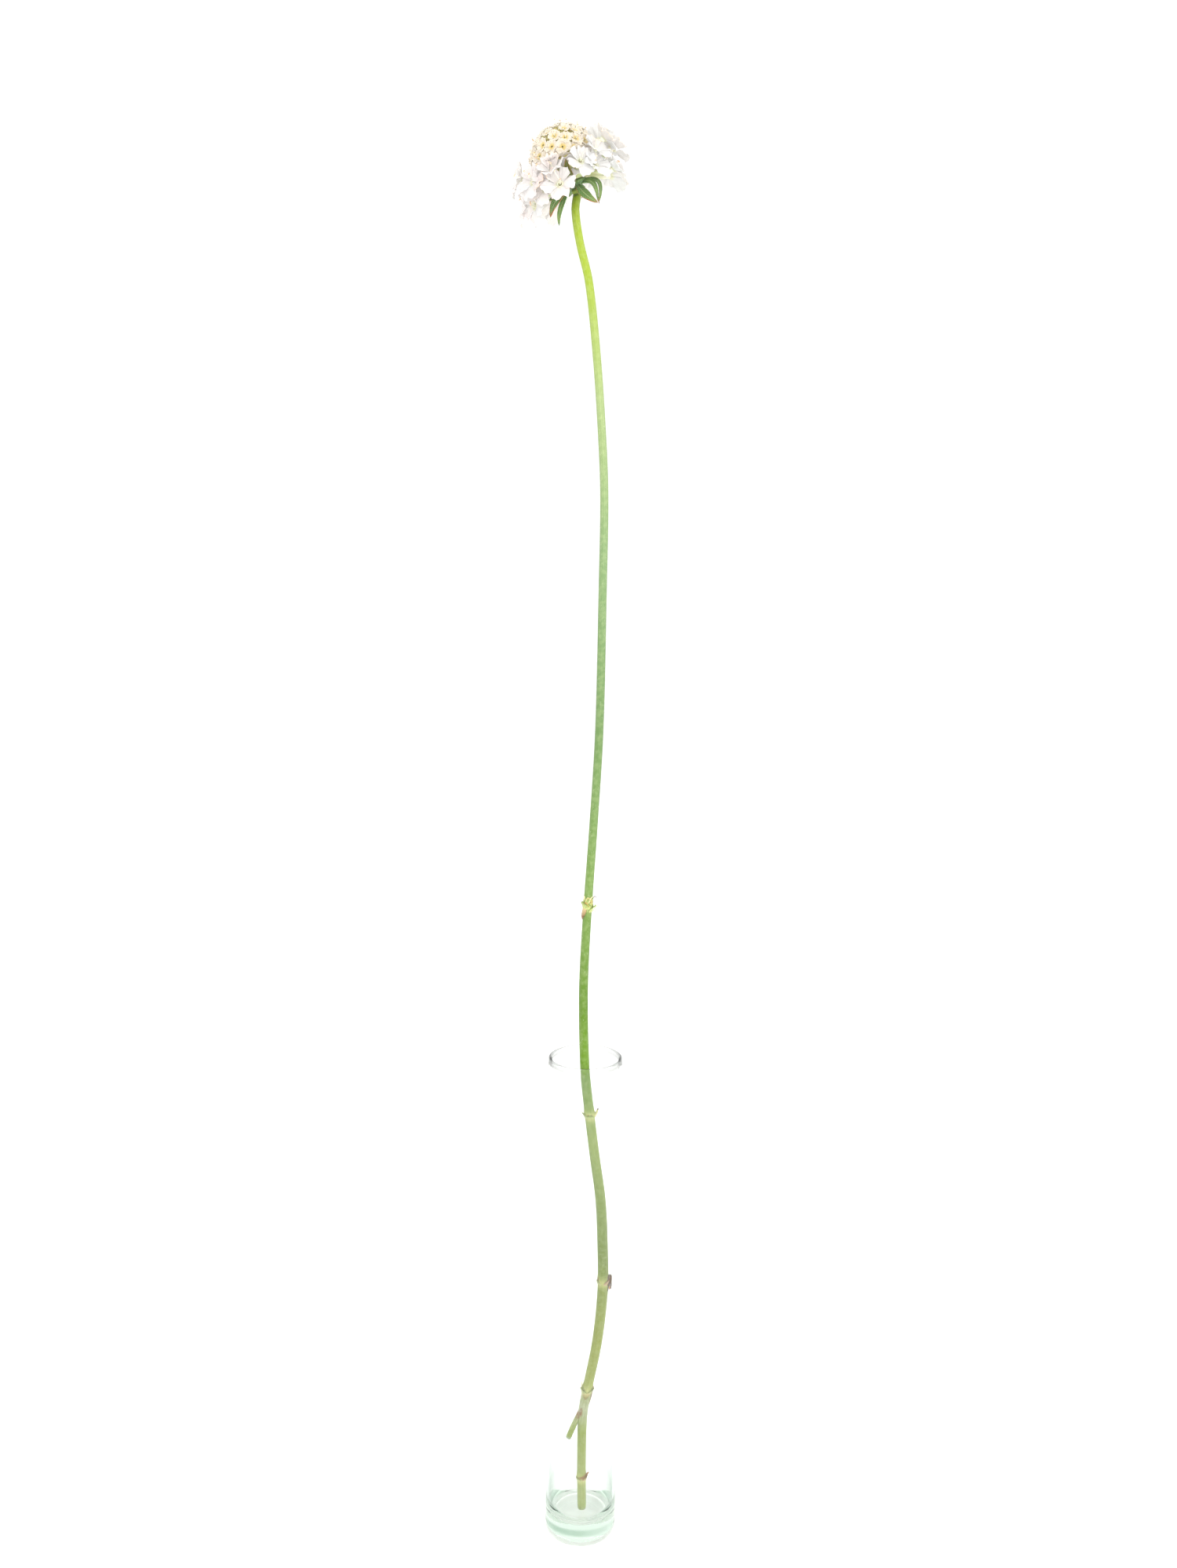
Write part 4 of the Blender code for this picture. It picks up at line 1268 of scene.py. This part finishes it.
def closing_ring(inner, length, width, height_of):
    """A ring of single petals that run out from the disc. height_of gives their height from their reach."""
    share = np.linspace(0, 1, CLOSING_ROWS)[:, None]
    across = np.linspace(-1, 1, SINGLE_COLUMNS)[None, :]
    for k in range(CLOSING_PETALS):
        turn = math.tau * (k + closing_rng.uniform(-0.3, 0.3)) / CLOSING_PETALS
        phase = closing_rng.uniform(0, math.tau)
        reach = inner + length * closing_rng.uniform(0.85, 1.0) * share
        reach = reach + CLOSING_RIPPLE * share * np.sin(9 * across + phase)
        reach = reach - CLOSING_NOTCH * share * np.abs(across) ** 2.4
        half = width * widening(share, CLOSING_NECK) * closing_rng.uniform(0.85, 1.1)
        height = height_of(reach, share) + CLOSING_RIPPLE * share * np.sin(4 * across + phase)
        points = moved(laid_out(turn, reach, across * half, height), HEAD)
        tint = closing_rng.random()
        rays.add(points, share=0.4 + 0.6 * share, across=across, tint=tint, pink=0.3 + 0.5 * tint)


closing_ring(**UPPER_RING, height_of=lambda reach, share: bowl_height(reach) - UPPER_DROP)
closing_ring(**LOWER_RING, height_of=lambda reach, share: LOWER_HEIGHT - LOWER_FALL * share)
print(2 * CLOSING_PETALS, "small petals close the gaps")

# %% [markdown]
# The finish of the outer petals
#
# They are white but not blank. The throat is yellow-green, thin veins run out from it like a fan, the
# florets at the left have a breath of pink, and a few tips have turned to peach. Light goes into a petal
# and out again near by, which softens its shadows, so the shader has some subsurface scattering over a
# millimetre or two. Light also comes through from petal to petal, which a renderer would need many
# bounces to find. A faint glow stands for it.

# %% White petals with veins
PETAL_THICKNESS = 0.22 * MM
WHITE = srgb(201, 200, 198)
COOL_WHITE = srgb(199, 201, 201)
WARM_WHITE = srgb(206, 198, 192)
PINK = srgb(211, 187, 183)
VEIN_CREAM = srgb(218, 222, 198)
THROAT_GREEN = srgb(208, 210, 140)
PEACH = srgb(214, 176, 132)
# Painted light: the petals glow faintly, though they are no lamp, for light that comes through from petals
# behind.
PAINTED_PETAL_GLOW = 0.13
PAINTED_GLOW_TINT = (1.0, 0.955, 0.95)
PETAL_SCATTER = (1.0, 1.0, 0.9)


def petal_finish(name, depth):
    """A petal's shader: light scatters to some depth in it, and it has a faint painted glow."""
    finish = Finish(name, Roughness=0.55, Subsurface_Weight=0.25, Subsurface_Scale=depth, Sheen_Weight=0.2)
    finish.shader.inputs["Subsurface Radius"].default_value = PETAL_SCATTER
    finish.shader.inputs["Emission Strength"].default_value = PAINTED_PETAL_GLOW
    finish.shader.inputs["Emission Color"].default_value = (*PAINTED_GLOW_TINT, 1)
    return finish


def fan_veins(finish, spread, shift, fade):
    """Thin lines that run out from the throat like a fan, and fade towards the petal's edge."""
    fan = finish.stored("across") * spread + finish.stored("tint") * shift
    return fan.sine().between(0.3, 1.0) * finish.stored("share").between(1.0, fade)


white = petal_finish("white_petal", 0.002)
veins = fan_veins(white, 34.0, 20.0, 0.25)
blush = white.stored("pink") * white.noise(120.0).between(0.3, 0.75)
warmth = white.mix(white.stored("tint").between(0.2, 0.9), COOL_WHITE, WARM_WHITE)
base_white = white.mix(blush * 0.8, white.mix(white.noise(90.0), WHITE, warmth), PINK)
veined_white = white.mix(veins * 0.06, base_white, VEIN_CREAM)
near_throat = white.stored("share").between(0.34, 0.14)
inner_white = white.mix(near_throat * 0.7, veined_white, THROAT_GREEN)
worn_ones = (white.stored("tint") + white.noise(300.0) * 0.5).between(0.95, 1.3)
tip_wear = white.stored("share").between(0.9, 1.0) * worn_ones
white.set("Base Color", white.mix(tip_wear * 0.7, inner_white, PEACH))
white.relief(veins * -0.16 + white.noise(350.0, 4.0) * 1.1, 0.30 * MM)
white.set("Roughness", 0.5 + white.noise(200.0) * 0.2)

rays.make("ray_petals", white, "ray_florets", PETAL_THICKNESS)
print("the petals are", PETAL_THICKNESS / MM, "mm thick")

# %% Tubes and stamens
TUBE_GREEN = srgb(196, 206, 148)
TUBE_WHITE = srgb(236, 236, 218)
TUBE_SPOT = srgb(206, 196, 150)
# Painted shade for the inside of the tube's mouth.
TUBE_INSIDE_SHADE = srgb(140, 130, 50)
POLLEN_PALE = srgb(240, 232, 210)
POLLEN_PINK = srgb(232, 196, 164)
POLLEN_GRAIN = srgb(200, 160, 124)
FILAMENT_WHITE = srgb(238, 236, 220)

tube_finish = Finish("petal_tube", Roughness=0.5, Subsurface_Weight=0.15, Subsurface_Scale=0.002)
tube_tone = tube_finish.mix(tube_finish.stored("share").between(0.1, 0.6), TUBE_GREEN, TUBE_WHITE)
# Painted shade: the inside of the tube's mouth is a darker olive.
inside = tube_finish.stored("share").between(0.80, 0.95)
tube_spots = tube_finish.mix(tube_finish.noise(400.0).between(0.4, 0.8) * 0.3, tube_tone, TUBE_SPOT)
tube_finish.set("Base Color", tube_finish.mix(inside, tube_spots, TUBE_INSIDE_SHADE))
tube_finish.relief(tube_finish.noise(900.0), 0.15 * MM)

pollen = Finish("stamen_pollen", Roughness=0.6, Subsurface_Weight=0.1, Subsurface_Scale=0.001)
anther_tone = pollen.mix(pollen.stored("tint").between(0.4, 0.9), POLLEN_PALE, POLLEN_PINK)
grainy = pollen.mix(pollen.noise(2500.0).between(0.4, 0.7) * 0.3, anther_tone, POLLEN_GRAIN)
pollen.set("Base Color", pollen.mix(pollen.stored("anther"), FILAMENT_WHITE, grainy))
pollen.relief(pollen.noise(3000.0) * pollen.stored("anther"), 0.1 * MM)

ray_tubes.make("ray_tubes", tube_finish, "ray_florets")
ray_stamens.make("ray_stamens", pollen, "ray_florets")
print("each outer floret has 2 or 3 stamens")

# %% [markdown]
# The cream dome
#
# The middle of the head is a dome of small florets. They open in order along a spiral in which each
# stands a golden angle further round than the one before, which packs them evenly: a rule that plants
# follow, and that takes one short function. Those near the rim are larger, with longer outer petals.
# Between them peep closed buds, and under the rim hangs a skirt of single petals, so that nothing bare
# shows between the dome and the outer florets.

# %% Points on a spiral, and stamens drawn by chance
GOLDEN_ANGLE = math.pi * (3 - math.sqrt(5))

dome_stamens = Bunch("anther", "tint")


def on_spiral(k, count, edge, start=0.0):
    """Where the kth point on the dome is: its share of the way down, its tilt, its turn and its direction."""
    share = math.sqrt((k + 0.5) / count)
    polar = edge * share
    turn = GOLDEN_ANGLE * k + start
    return share, polar, turn, np.array(Euler((0, polar, turn)).to_matrix() @ Vector((0, 0, 1)))


def drawn_stamen(chance, sway, lengths, foot, turned, side):
    """A stamen of the dome, whose lean and length are drawn by chance."""
    way = Vector((chance.uniform(-sway, sway), chance.uniform(-sway, sway), 1))
    length = chance.uniform(*lengths) * MM
    stamen(dome_stamens, foot, unit(np.array(turned @ way)), length, side)


print("the golden angle is", round(math.degrees(GOLDEN_ANGLE), 1), "degrees")

# %% Place the dome's florets
DOME_FLORETS = 52
DOME_EDGE = math.radians(90)
EYE_MIDDLE = 15.0 * MM
EYE_REACH = 16.6 * MM
EYE_RISE = 17.0 * MM
SMALLEST_FLORET = 2.4
LARGEST_FLORET = 4.1
FLORET_DEPTH = 0.9 * MM
FLORET_TUBE_RADIUS = 1.1 * MM
FLORET_LEAN = 0.16
FLORET_RUFFLE = 0.4 * MM
FLORET_ROWS = 10
FLORET_COLUMNS = 11
FLORET_BEND = 0.34
FLORET_TUBE_RINGS = 8
FLORET_TUBE_SIDES = 15
FLORET_MOUTH = 1.3 * MM
# A stamen leans by up to its sway, and its length is in mm. Past the limit, near the rim, none is long.
LONG_SWAY = 0.3
LONG_LENGTHS = (3.6, 5.0)
LONG_LIMIT = 0.8
SHORT_SWAY = 0.4
SHORT_LENGTHS = (2.2, 3.4)
DOME_RADIUS = 14.0 * MM

dome = Bunch("share", "across", "tint", "edge")
dome_tubes = Bunch("share", "edge")
for k in range(DOME_FLORETS):
    share, polar, turn, out = on_spiral(k, DOME_FLORETS, DOME_EDGE)
    sway, nod = rng.uniform(-FLORET_LEAN, FLORET_LEAN), rng.uniform(-FLORET_LEAN, FLORET_LEAN)
    lean = Euler((sway, polar + nod, turn)).to_matrix()
    eye = np.array((out[0] * EYE_REACH, out[1] * EYE_REACH, EYE_MIDDLE + out[2] * EYE_RISE))
    size = (SMALLEST_FLORET + (LARGEST_FLORET - SMALLEST_FLORET) * share) * MM
    # A quarter turn brings the petal that points along -Y to the floret's outer side.
    place = Matrix.Translation(eye) @ lean.to_4x4() @ Matrix.Rotation(math.pi / 2, 4, "Z")
    for p in range(PETALS):
        direction = p * math.tau / PETALS
        length = size * (1.06 + 0.18 * share * math.cos(direction)) * ruffle_rng.uniform(0.94, 1.06)
        bend = FLORET_BEND + ruffle_rng.uniform(-0.12, 0.12)
        cup_up = ruffle_rng.uniform(0, 0.12)
        grid = petal(length, direction, FLORET_ROWS, FLORET_COLUMNS, ruffle_rng, FLORET_RUFFLE, bend, cup_up)
        grid[..., 2] -= FLORET_DEPTH
        dome.add(
            moved(keep_inside(moved(grid, place)), HEAD),
            share=np.linspace(THROAT, 1, FLORET_ROWS)[:, None],
            across=np.linspace(-1, 1, FLORET_COLUMNS),
            tint=ruffle_rng.random(),
            edge=share,
        )
    normal = np.array(lean @ Vector((0, 0, 1)))
    throat = eye - normal * FLORET_DEPTH
    root = np.array((0, 0, EYE_MIDDLE)) + out * (DOME_RADIUS - 3 * MM)
    radii = np.linspace(TUBE_ROOT * FLORET_TUBE_RADIUS, 0.95 * FLORET_TUBE_RADIUS, FLORET_TUBE_RINGS)
    tube = floret_tube(root, (root + throat) / 2, throat, radii, FLORET_TUBE_SIDES, FLORET_MOUTH)
    dome_tubes.add(moved(tube, HEAD), wrap=True, share=down_rows(tube), edge=share)
    across_way = np.array(lean @ Vector((1, 0, 0)))
    foot = throat - normal * 0.5 * MM
    if k % 3 == 0 and share < LONG_LIMIT:
        drawn_stamen(rng, LONG_SWAY, LONG_LENGTHS, foot, lean, across_way)
    if k % 2:
        drawn_stamen(ruffle_rng, SHORT_SWAY, SHORT_LENGTHS, foot, lean, across_way)
print("the dome has", DOME_FLORETS, "florets")

# %% A skirt of petals under the dome's rim
SKIRT_PETALS = 26
SKIRT_INNER = 9.2 * MM
SKIRT_OUTER = 18.2 * MM
SKIRT_WIDTH = 2.9 * MM
SKIRT_LIFT = 0.25 * MM
SKIRT_NOTCH = 1.4 * MM
SKIRT_RIPPLE = 0.25 * MM
SKIRT_WAVE = 0.35 * MM
SKIRT_CROWN = 1.2 * MM
SKIRT_ROWS = 14
SKIRT_NECK = 0.55

share = np.linspace(0, 1, SKIRT_ROWS)[:, None]
across = np.linspace(-1, 1, SINGLE_COLUMNS)[None, :]
for k in range(SKIRT_PETALS):
    turn = math.tau * (k + ruffle_rng.uniform(-0.3, 0.3)) / SKIRT_PETALS
    phase = ruffle_rng.uniform(0, math.tau)
    reach = SKIRT_INNER + (SKIRT_OUTER * ruffle_rng.uniform(0.9, 1.02) - SKIRT_INNER) * share
    reach = reach - SKIRT_NOTCH * share * np.abs(across) ** 2.4
    reach = reach + SKIRT_RIPPLE * share * np.sin(9 * across + phase)
    half = SKIRT_WIDTH * widening(share, SKIRT_NECK) * ruffle_rng.uniform(0.85, 1.1)
    lift = SKIRT_LIFT * (1 + (k % 2)) + SKIRT_WAVE * share * (1 + np.sin(4 * across + phase))
    height = bowl_height(reach) + lift + SKIRT_CROWN * (1 - across**2) * share * (1 - share)
    points = moved(laid_out(turn, reach, across * half, height), HEAD)
    dome.add(points, share=0.45 + 0.55 * share, across=across, tint=ruffle_rng.random(), edge=1.0)
print(SKIRT_PETALS, "petals hang under the dome's rim")

# %% The dome's core and the buds
DOME_TOP = 28.0 * MM
BUDS = 150
BUD_RADII = np.array((0.35, 0.6, 0.78, 0.8, 0.6, 0.3)) * MM
BUD_EDGE = math.radians(84)
BUD_TURN = 1.0
BUD_SIDES = 10
BUD_RIBS = 5
BUD_RIB_DEPTH = 0.08
CORE_RISE = 3.2 * MM
CORE_SIDES = 72
CORE_RIBS = 12
CORE_RIB_DEPTH = 0.015
CORE_DEGREES = range(80, -1, -8)

dome_low = DISC_TOP + GAP
core_middle = dome_low + CORE_RISE
core_outline = [(0, dome_low), (BOWL_FLOOR_RADIUS, dome_low), (DOME_RADIUS, bowl_height(DOME_RADIUS) + GAP)]
for angle in map(math.radians, CORE_DEGREES):
    high = core_middle + (DOME_TOP - core_middle) * math.cos(angle)
    core_outline.append((DOME_RADIUS * math.sin(angle), high))
core = spun(core_outline, CORE_SIDES, CORE_RIBS, CORE_RIB_DEPTH)
dome_tubes.add(core, wrap=True, share=0.2, edge=0.5)
buds = Bunch("share", "tint")
for k in range(BUDS):
    out = on_spiral(k, BUDS, BUD_EDGE, BUD_TURN)[3]
    foot = np.array((0, 0, core_middle)) + out * (DOME_RADIUS - 1.5 * MM)
    end = foot + out * ruffle_rng.uniform(2.0, 3.4) * MM
    path = bow(foot, (foot + end) / 2, end, len(BUD_RADII))
    bud = keep_inside(sweep(path, BUD_RADII, BUD_SIDES, BUD_RIBS, BUD_RIB_DEPTH))
    buds.add(moved(bud, HEAD), wrap=True, share=down_rows(bud), tint=ruffle_rng.random())
print("the buds are set round a core", round(2 * DOME_RADIUS / MM), "mm across")

# %% [markdown]
# The dome's finish
#
# The small florets are cream, a warmer white than the outer ones. Each has a yellow ring round its
# throat, and the throat itself is a deep olive-brown, which from a distance reads as a dark eye. The
# depth of the tube and its own colour make it dark, and painted shade darkens the colour further down
# the tube.

# %% Cream petals with yellow throats
CREAM = srgb(208, 199, 183)
DEEP_CREAM = srgb(204, 191, 165)
RING_YELLOW = srgb(208, 180, 72)
VEIN_YELLOW = srgb(222, 214, 170)
CREAM_THICKNESS = 0.2 * MM

cream = petal_finish("cream_petal", 0.0015)
creamy = cream.mix(cream.stored("tint") * 0.5, CREAM, DEEP_CREAM)
ring = cream.stored("share").between(0.60, 0.24)
ringed = cream.mix(ring * 0.95, creamy, RING_YELLOW)
cream_veins = fan_veins(cream, 22.0, 9.0, 0.3)
cream.set("Base Color", cream.mix(cream_veins * 0.08, ringed, VEIN_YELLOW))
cream.relief(cream_veins * -0.2 + cream.noise(900.0, 3.0), 0.2 * MM)
cream.set("Roughness", 0.5 + cream.noise(300.0) * 0.2)

dome.make("dome_petals", cream, "dome_florets", CREAM_THICKNESS)
print("the cream is", [round(v, 2) for v in CREAM])

# %% Throats, buds and stamens of the dome
EYE_PALE = srgb(232, 222, 160)
EYE_YELLOW = srgb(214, 206, 128)
# The throat's own olive-brown, and painted shade deep in the tube.
EYE_OLIVE_AND_SHADE = srgb(126, 104, 40)
BUD_GREEN = srgb(196, 198, 122)
BUD_CREAM = srgb(240, 234, 200)
BUD_YELLOW = srgb(214, 196, 120)

eyes = Finish("dome_throat", Roughness=0.5, Subsurface_Weight=0.1, Subsurface_Scale=0.002)
# Partly the throat's own olive-brown and partly painted shade: the colour darkens deeper down the tube.
eye_depth_shade = eyes.stored("share").between(0.62, 0.9)
eye_tone = eyes.mix(eyes.noise(500.0), EYE_PALE, EYE_YELLOW)
eyes.set("Base Color", eyes.mix(eye_depth_shade, eye_tone, EYE_OLIVE_AND_SHADE))
eyes.relief(eyes.noise(900.0), 0.15 * MM)

bud_skin = Finish("dome_bud", Roughness=0.5, Subsurface_Weight=0.15, Subsurface_Scale=0.002)
bud_tone = bud_skin.mix(bud_skin.stored("share"), BUD_GREEN, BUD_CREAM)
bud_skin.set("Base Color", bud_skin.mix(bud_skin.stored("tint") * 0.4, bud_tone, BUD_YELLOW))
bud_skin.relief(bud_skin.noise(1200.0), 0.12 * MM)

dome_tubes.make("dome_throats", eyes, "dome_florets")
buds.make("dome_buds", bud_skin, "dome_florets")
dome_stamens.make("dome_stamens", pollen, "dome_florets")
print("each bud is a tube of", len(BUD_RADII), "rings")

# %% [markdown]
# The floor
#
# The object stands on a wide pale floor that runs out of sight, so that no edge shows behind the vase.
# The floor is staging and no part of the object.

# %% A wide pale floor
FLOOR_RADIUS = 9.0
FLOOR_SIDES = 96
PAPER_LIGHT = (0.985, 0.985, 0.985)
PAPER_DARK = (0.975, 0.975, 0.975)
# The foot's underside and the floor would share a plane, and flicker, without this.
FLOOR_LIFT = 0.05 * MM

bpy.ops.mesh.primitive_circle_add(vertices=FLOOR_SIDES, radius=FLOOR_RADIUS, fill_type="NGON")
floor = bpy.context.object
floor.name = "studio_floor"
paper = Finish("studio_paper", Roughness=0.85, Specular_IOR_Level=0.1)
paper.set("Base Color", paper.mix(paper.noise(3.0) * 0.3, PAPER_LIGHT, PAPER_DARK))
floor.location.z = FLOOR_LIFT
floor.data.materials.append(paper.material)
floor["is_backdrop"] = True
print("the floor is", 2 * FLOOR_RADIUS, "m across")

# %% [markdown]
# Light
#
# The picture is lit by a soft bright light from everywhere, so white petals almost vanish into the white
# around them. A white world gives that. Clear glass in an all-white world would vanish too: what draws
# its edges is something dark to bend. So the world has one soft darker band, too high for the camera to
# look at it straight, and deepest at the right, as the green of the foot is in the photograph. Four soft
# lamps add the little direction that shapes the petals. The glass doesn't mirror them: their square
# outlines would show in its foot.

# %% The world and its darker band
BAND_LOW, BAND_HIGH = 0.56, 0.70
WORLD_STRENGTH = 1.1
WORLD_DARK = (0.52, 0.64, 0.56)
BAND_LEFT_SHARE = 0.3
BAND_LEFT = -0.9
BAND_RIGHT = 0.7

world = bpy.data.worlds.new("studio_world")
bpy.context.scene.world = world
world.use_nodes = True
sky = world.node_tree
direction = Shade.node(sky, "ShaderNodeTexCoord", {}, {}, "Generated")
band = Shade.node(sky, "ShaderNodeSeparateXYZ", {}, {0: direction}, "Z").bump(BAND_LOW, BAND_HIGH)
rightness = Shade.node(sky, "ShaderNodeSeparateXYZ", {}, {0: direction}, "X").between(BAND_LEFT, BAND_RIGHT)
deep = band * (BAND_LEFT_SHARE + rightness * (1 - BAND_LEFT_SHARE))
colours = {0: deep, 6: (1, 1, 1, 1), 7: (*WORLD_DARK, 1)}
tone = Shade.node(sky, "ShaderNodeMix", {"data_type": "RGBA"}, colours, 2)
background = sky.nodes["Background"]
sky.links.new(tone.socket, background.inputs["Color"])
background.inputs["Strength"].default_value = WORLD_STRENGTH
band_degrees = [round(math.degrees(math.asin(share))) for share in (BAND_LOW, BAND_HIGH)]
print("the darker band lies between", *band_degrees, "degrees up")

# %% Soft lamps
LAMP_COLOUR = (1.0, 0.965, 0.93)
LAMP_AIM = Vector((0, 0, 0.5))


def lamp(name, place, size, power):
    """A square lamp that faces the middle of the object. Its size is in metres and its power in watts."""
    light = bpy.data.lights.new(name, "AREA")
    light.size = size
    light.energy = power
    light.color = LAMP_COLOUR
    piece = bpy.data.objects.new(name, light)
    piece.location = place
    piece.rotation_euler = (LAMP_AIM - Vector(place)).to_track_quat("-Z", "Y").to_euler()
    piece.visible_glossy = False
    piece.visible_transmission = False
    bpy.context.scene.collection.objects.link(piece)


lamp("key_lamp", (-1.4, -1.8, 2.3), 1.2, 20)
lamp("fill_lamp", (1.8, -1.4, 0.9), 1.6, 22)
lamp("front_lamp", (0.1, -1.5, 0.7), 1.0, 7)
lamp("back_lamp", (-1.2, 1.9, 1.6), 1.6, 22)
bpy.context.scene.view_settings.view_transform = "Standard"
print("four lamps")

# %% [markdown]
# The camera
#
# The photograph looks level with the upper stem: slightly down on the vase's foot and up under the
# flower. The lens and place were worked out from the ellipses of the vase's lip and foot.

# %% Stand the camera where the photograph was taken
CAMERA_PLACE = (0, -0.744, 0.573)
CAMERA_DROP = math.radians(8.6)
CAMERA_ROLL = 0.01138
LENS = 30.6
SENSOR = 36
NEAREST_SEEN = 0.01

camera_data = bpy.data.cameras.new("camera")
camera_data.lens = LENS
camera_data.sensor_width = SENSOR
camera_data.clip_start = NEAREST_SEEN
camera = bpy.data.objects.new("camera", camera_data)
aim = Euler((math.pi / 2 - CAMERA_DROP, 0, 0)).to_matrix().to_4x4()
camera.matrix_world = Matrix.Translation(CAMERA_PLACE) @ aim @ Matrix.Rotation(CAMERA_ROLL, 4, "Z")
bpy.context.scene.collection.objects.link(camera)
bpy.context.scene.camera = camera
print("the camera is", round(1000 * CAMERA_PLACE[2]), "mm up")

# %% [markdown]
# The last check
#
# The finer pieces must fill the same box as the plain model.

# %% Write both boxes and finish
new_low, new_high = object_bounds()
for end, old, new in (("low", cad_low, new_low), ("high", cad_high, new_high)):
    print(end, "corner moved by", [round((b - a) / MM, 1) for a, b in zip(old, new)], "mm")
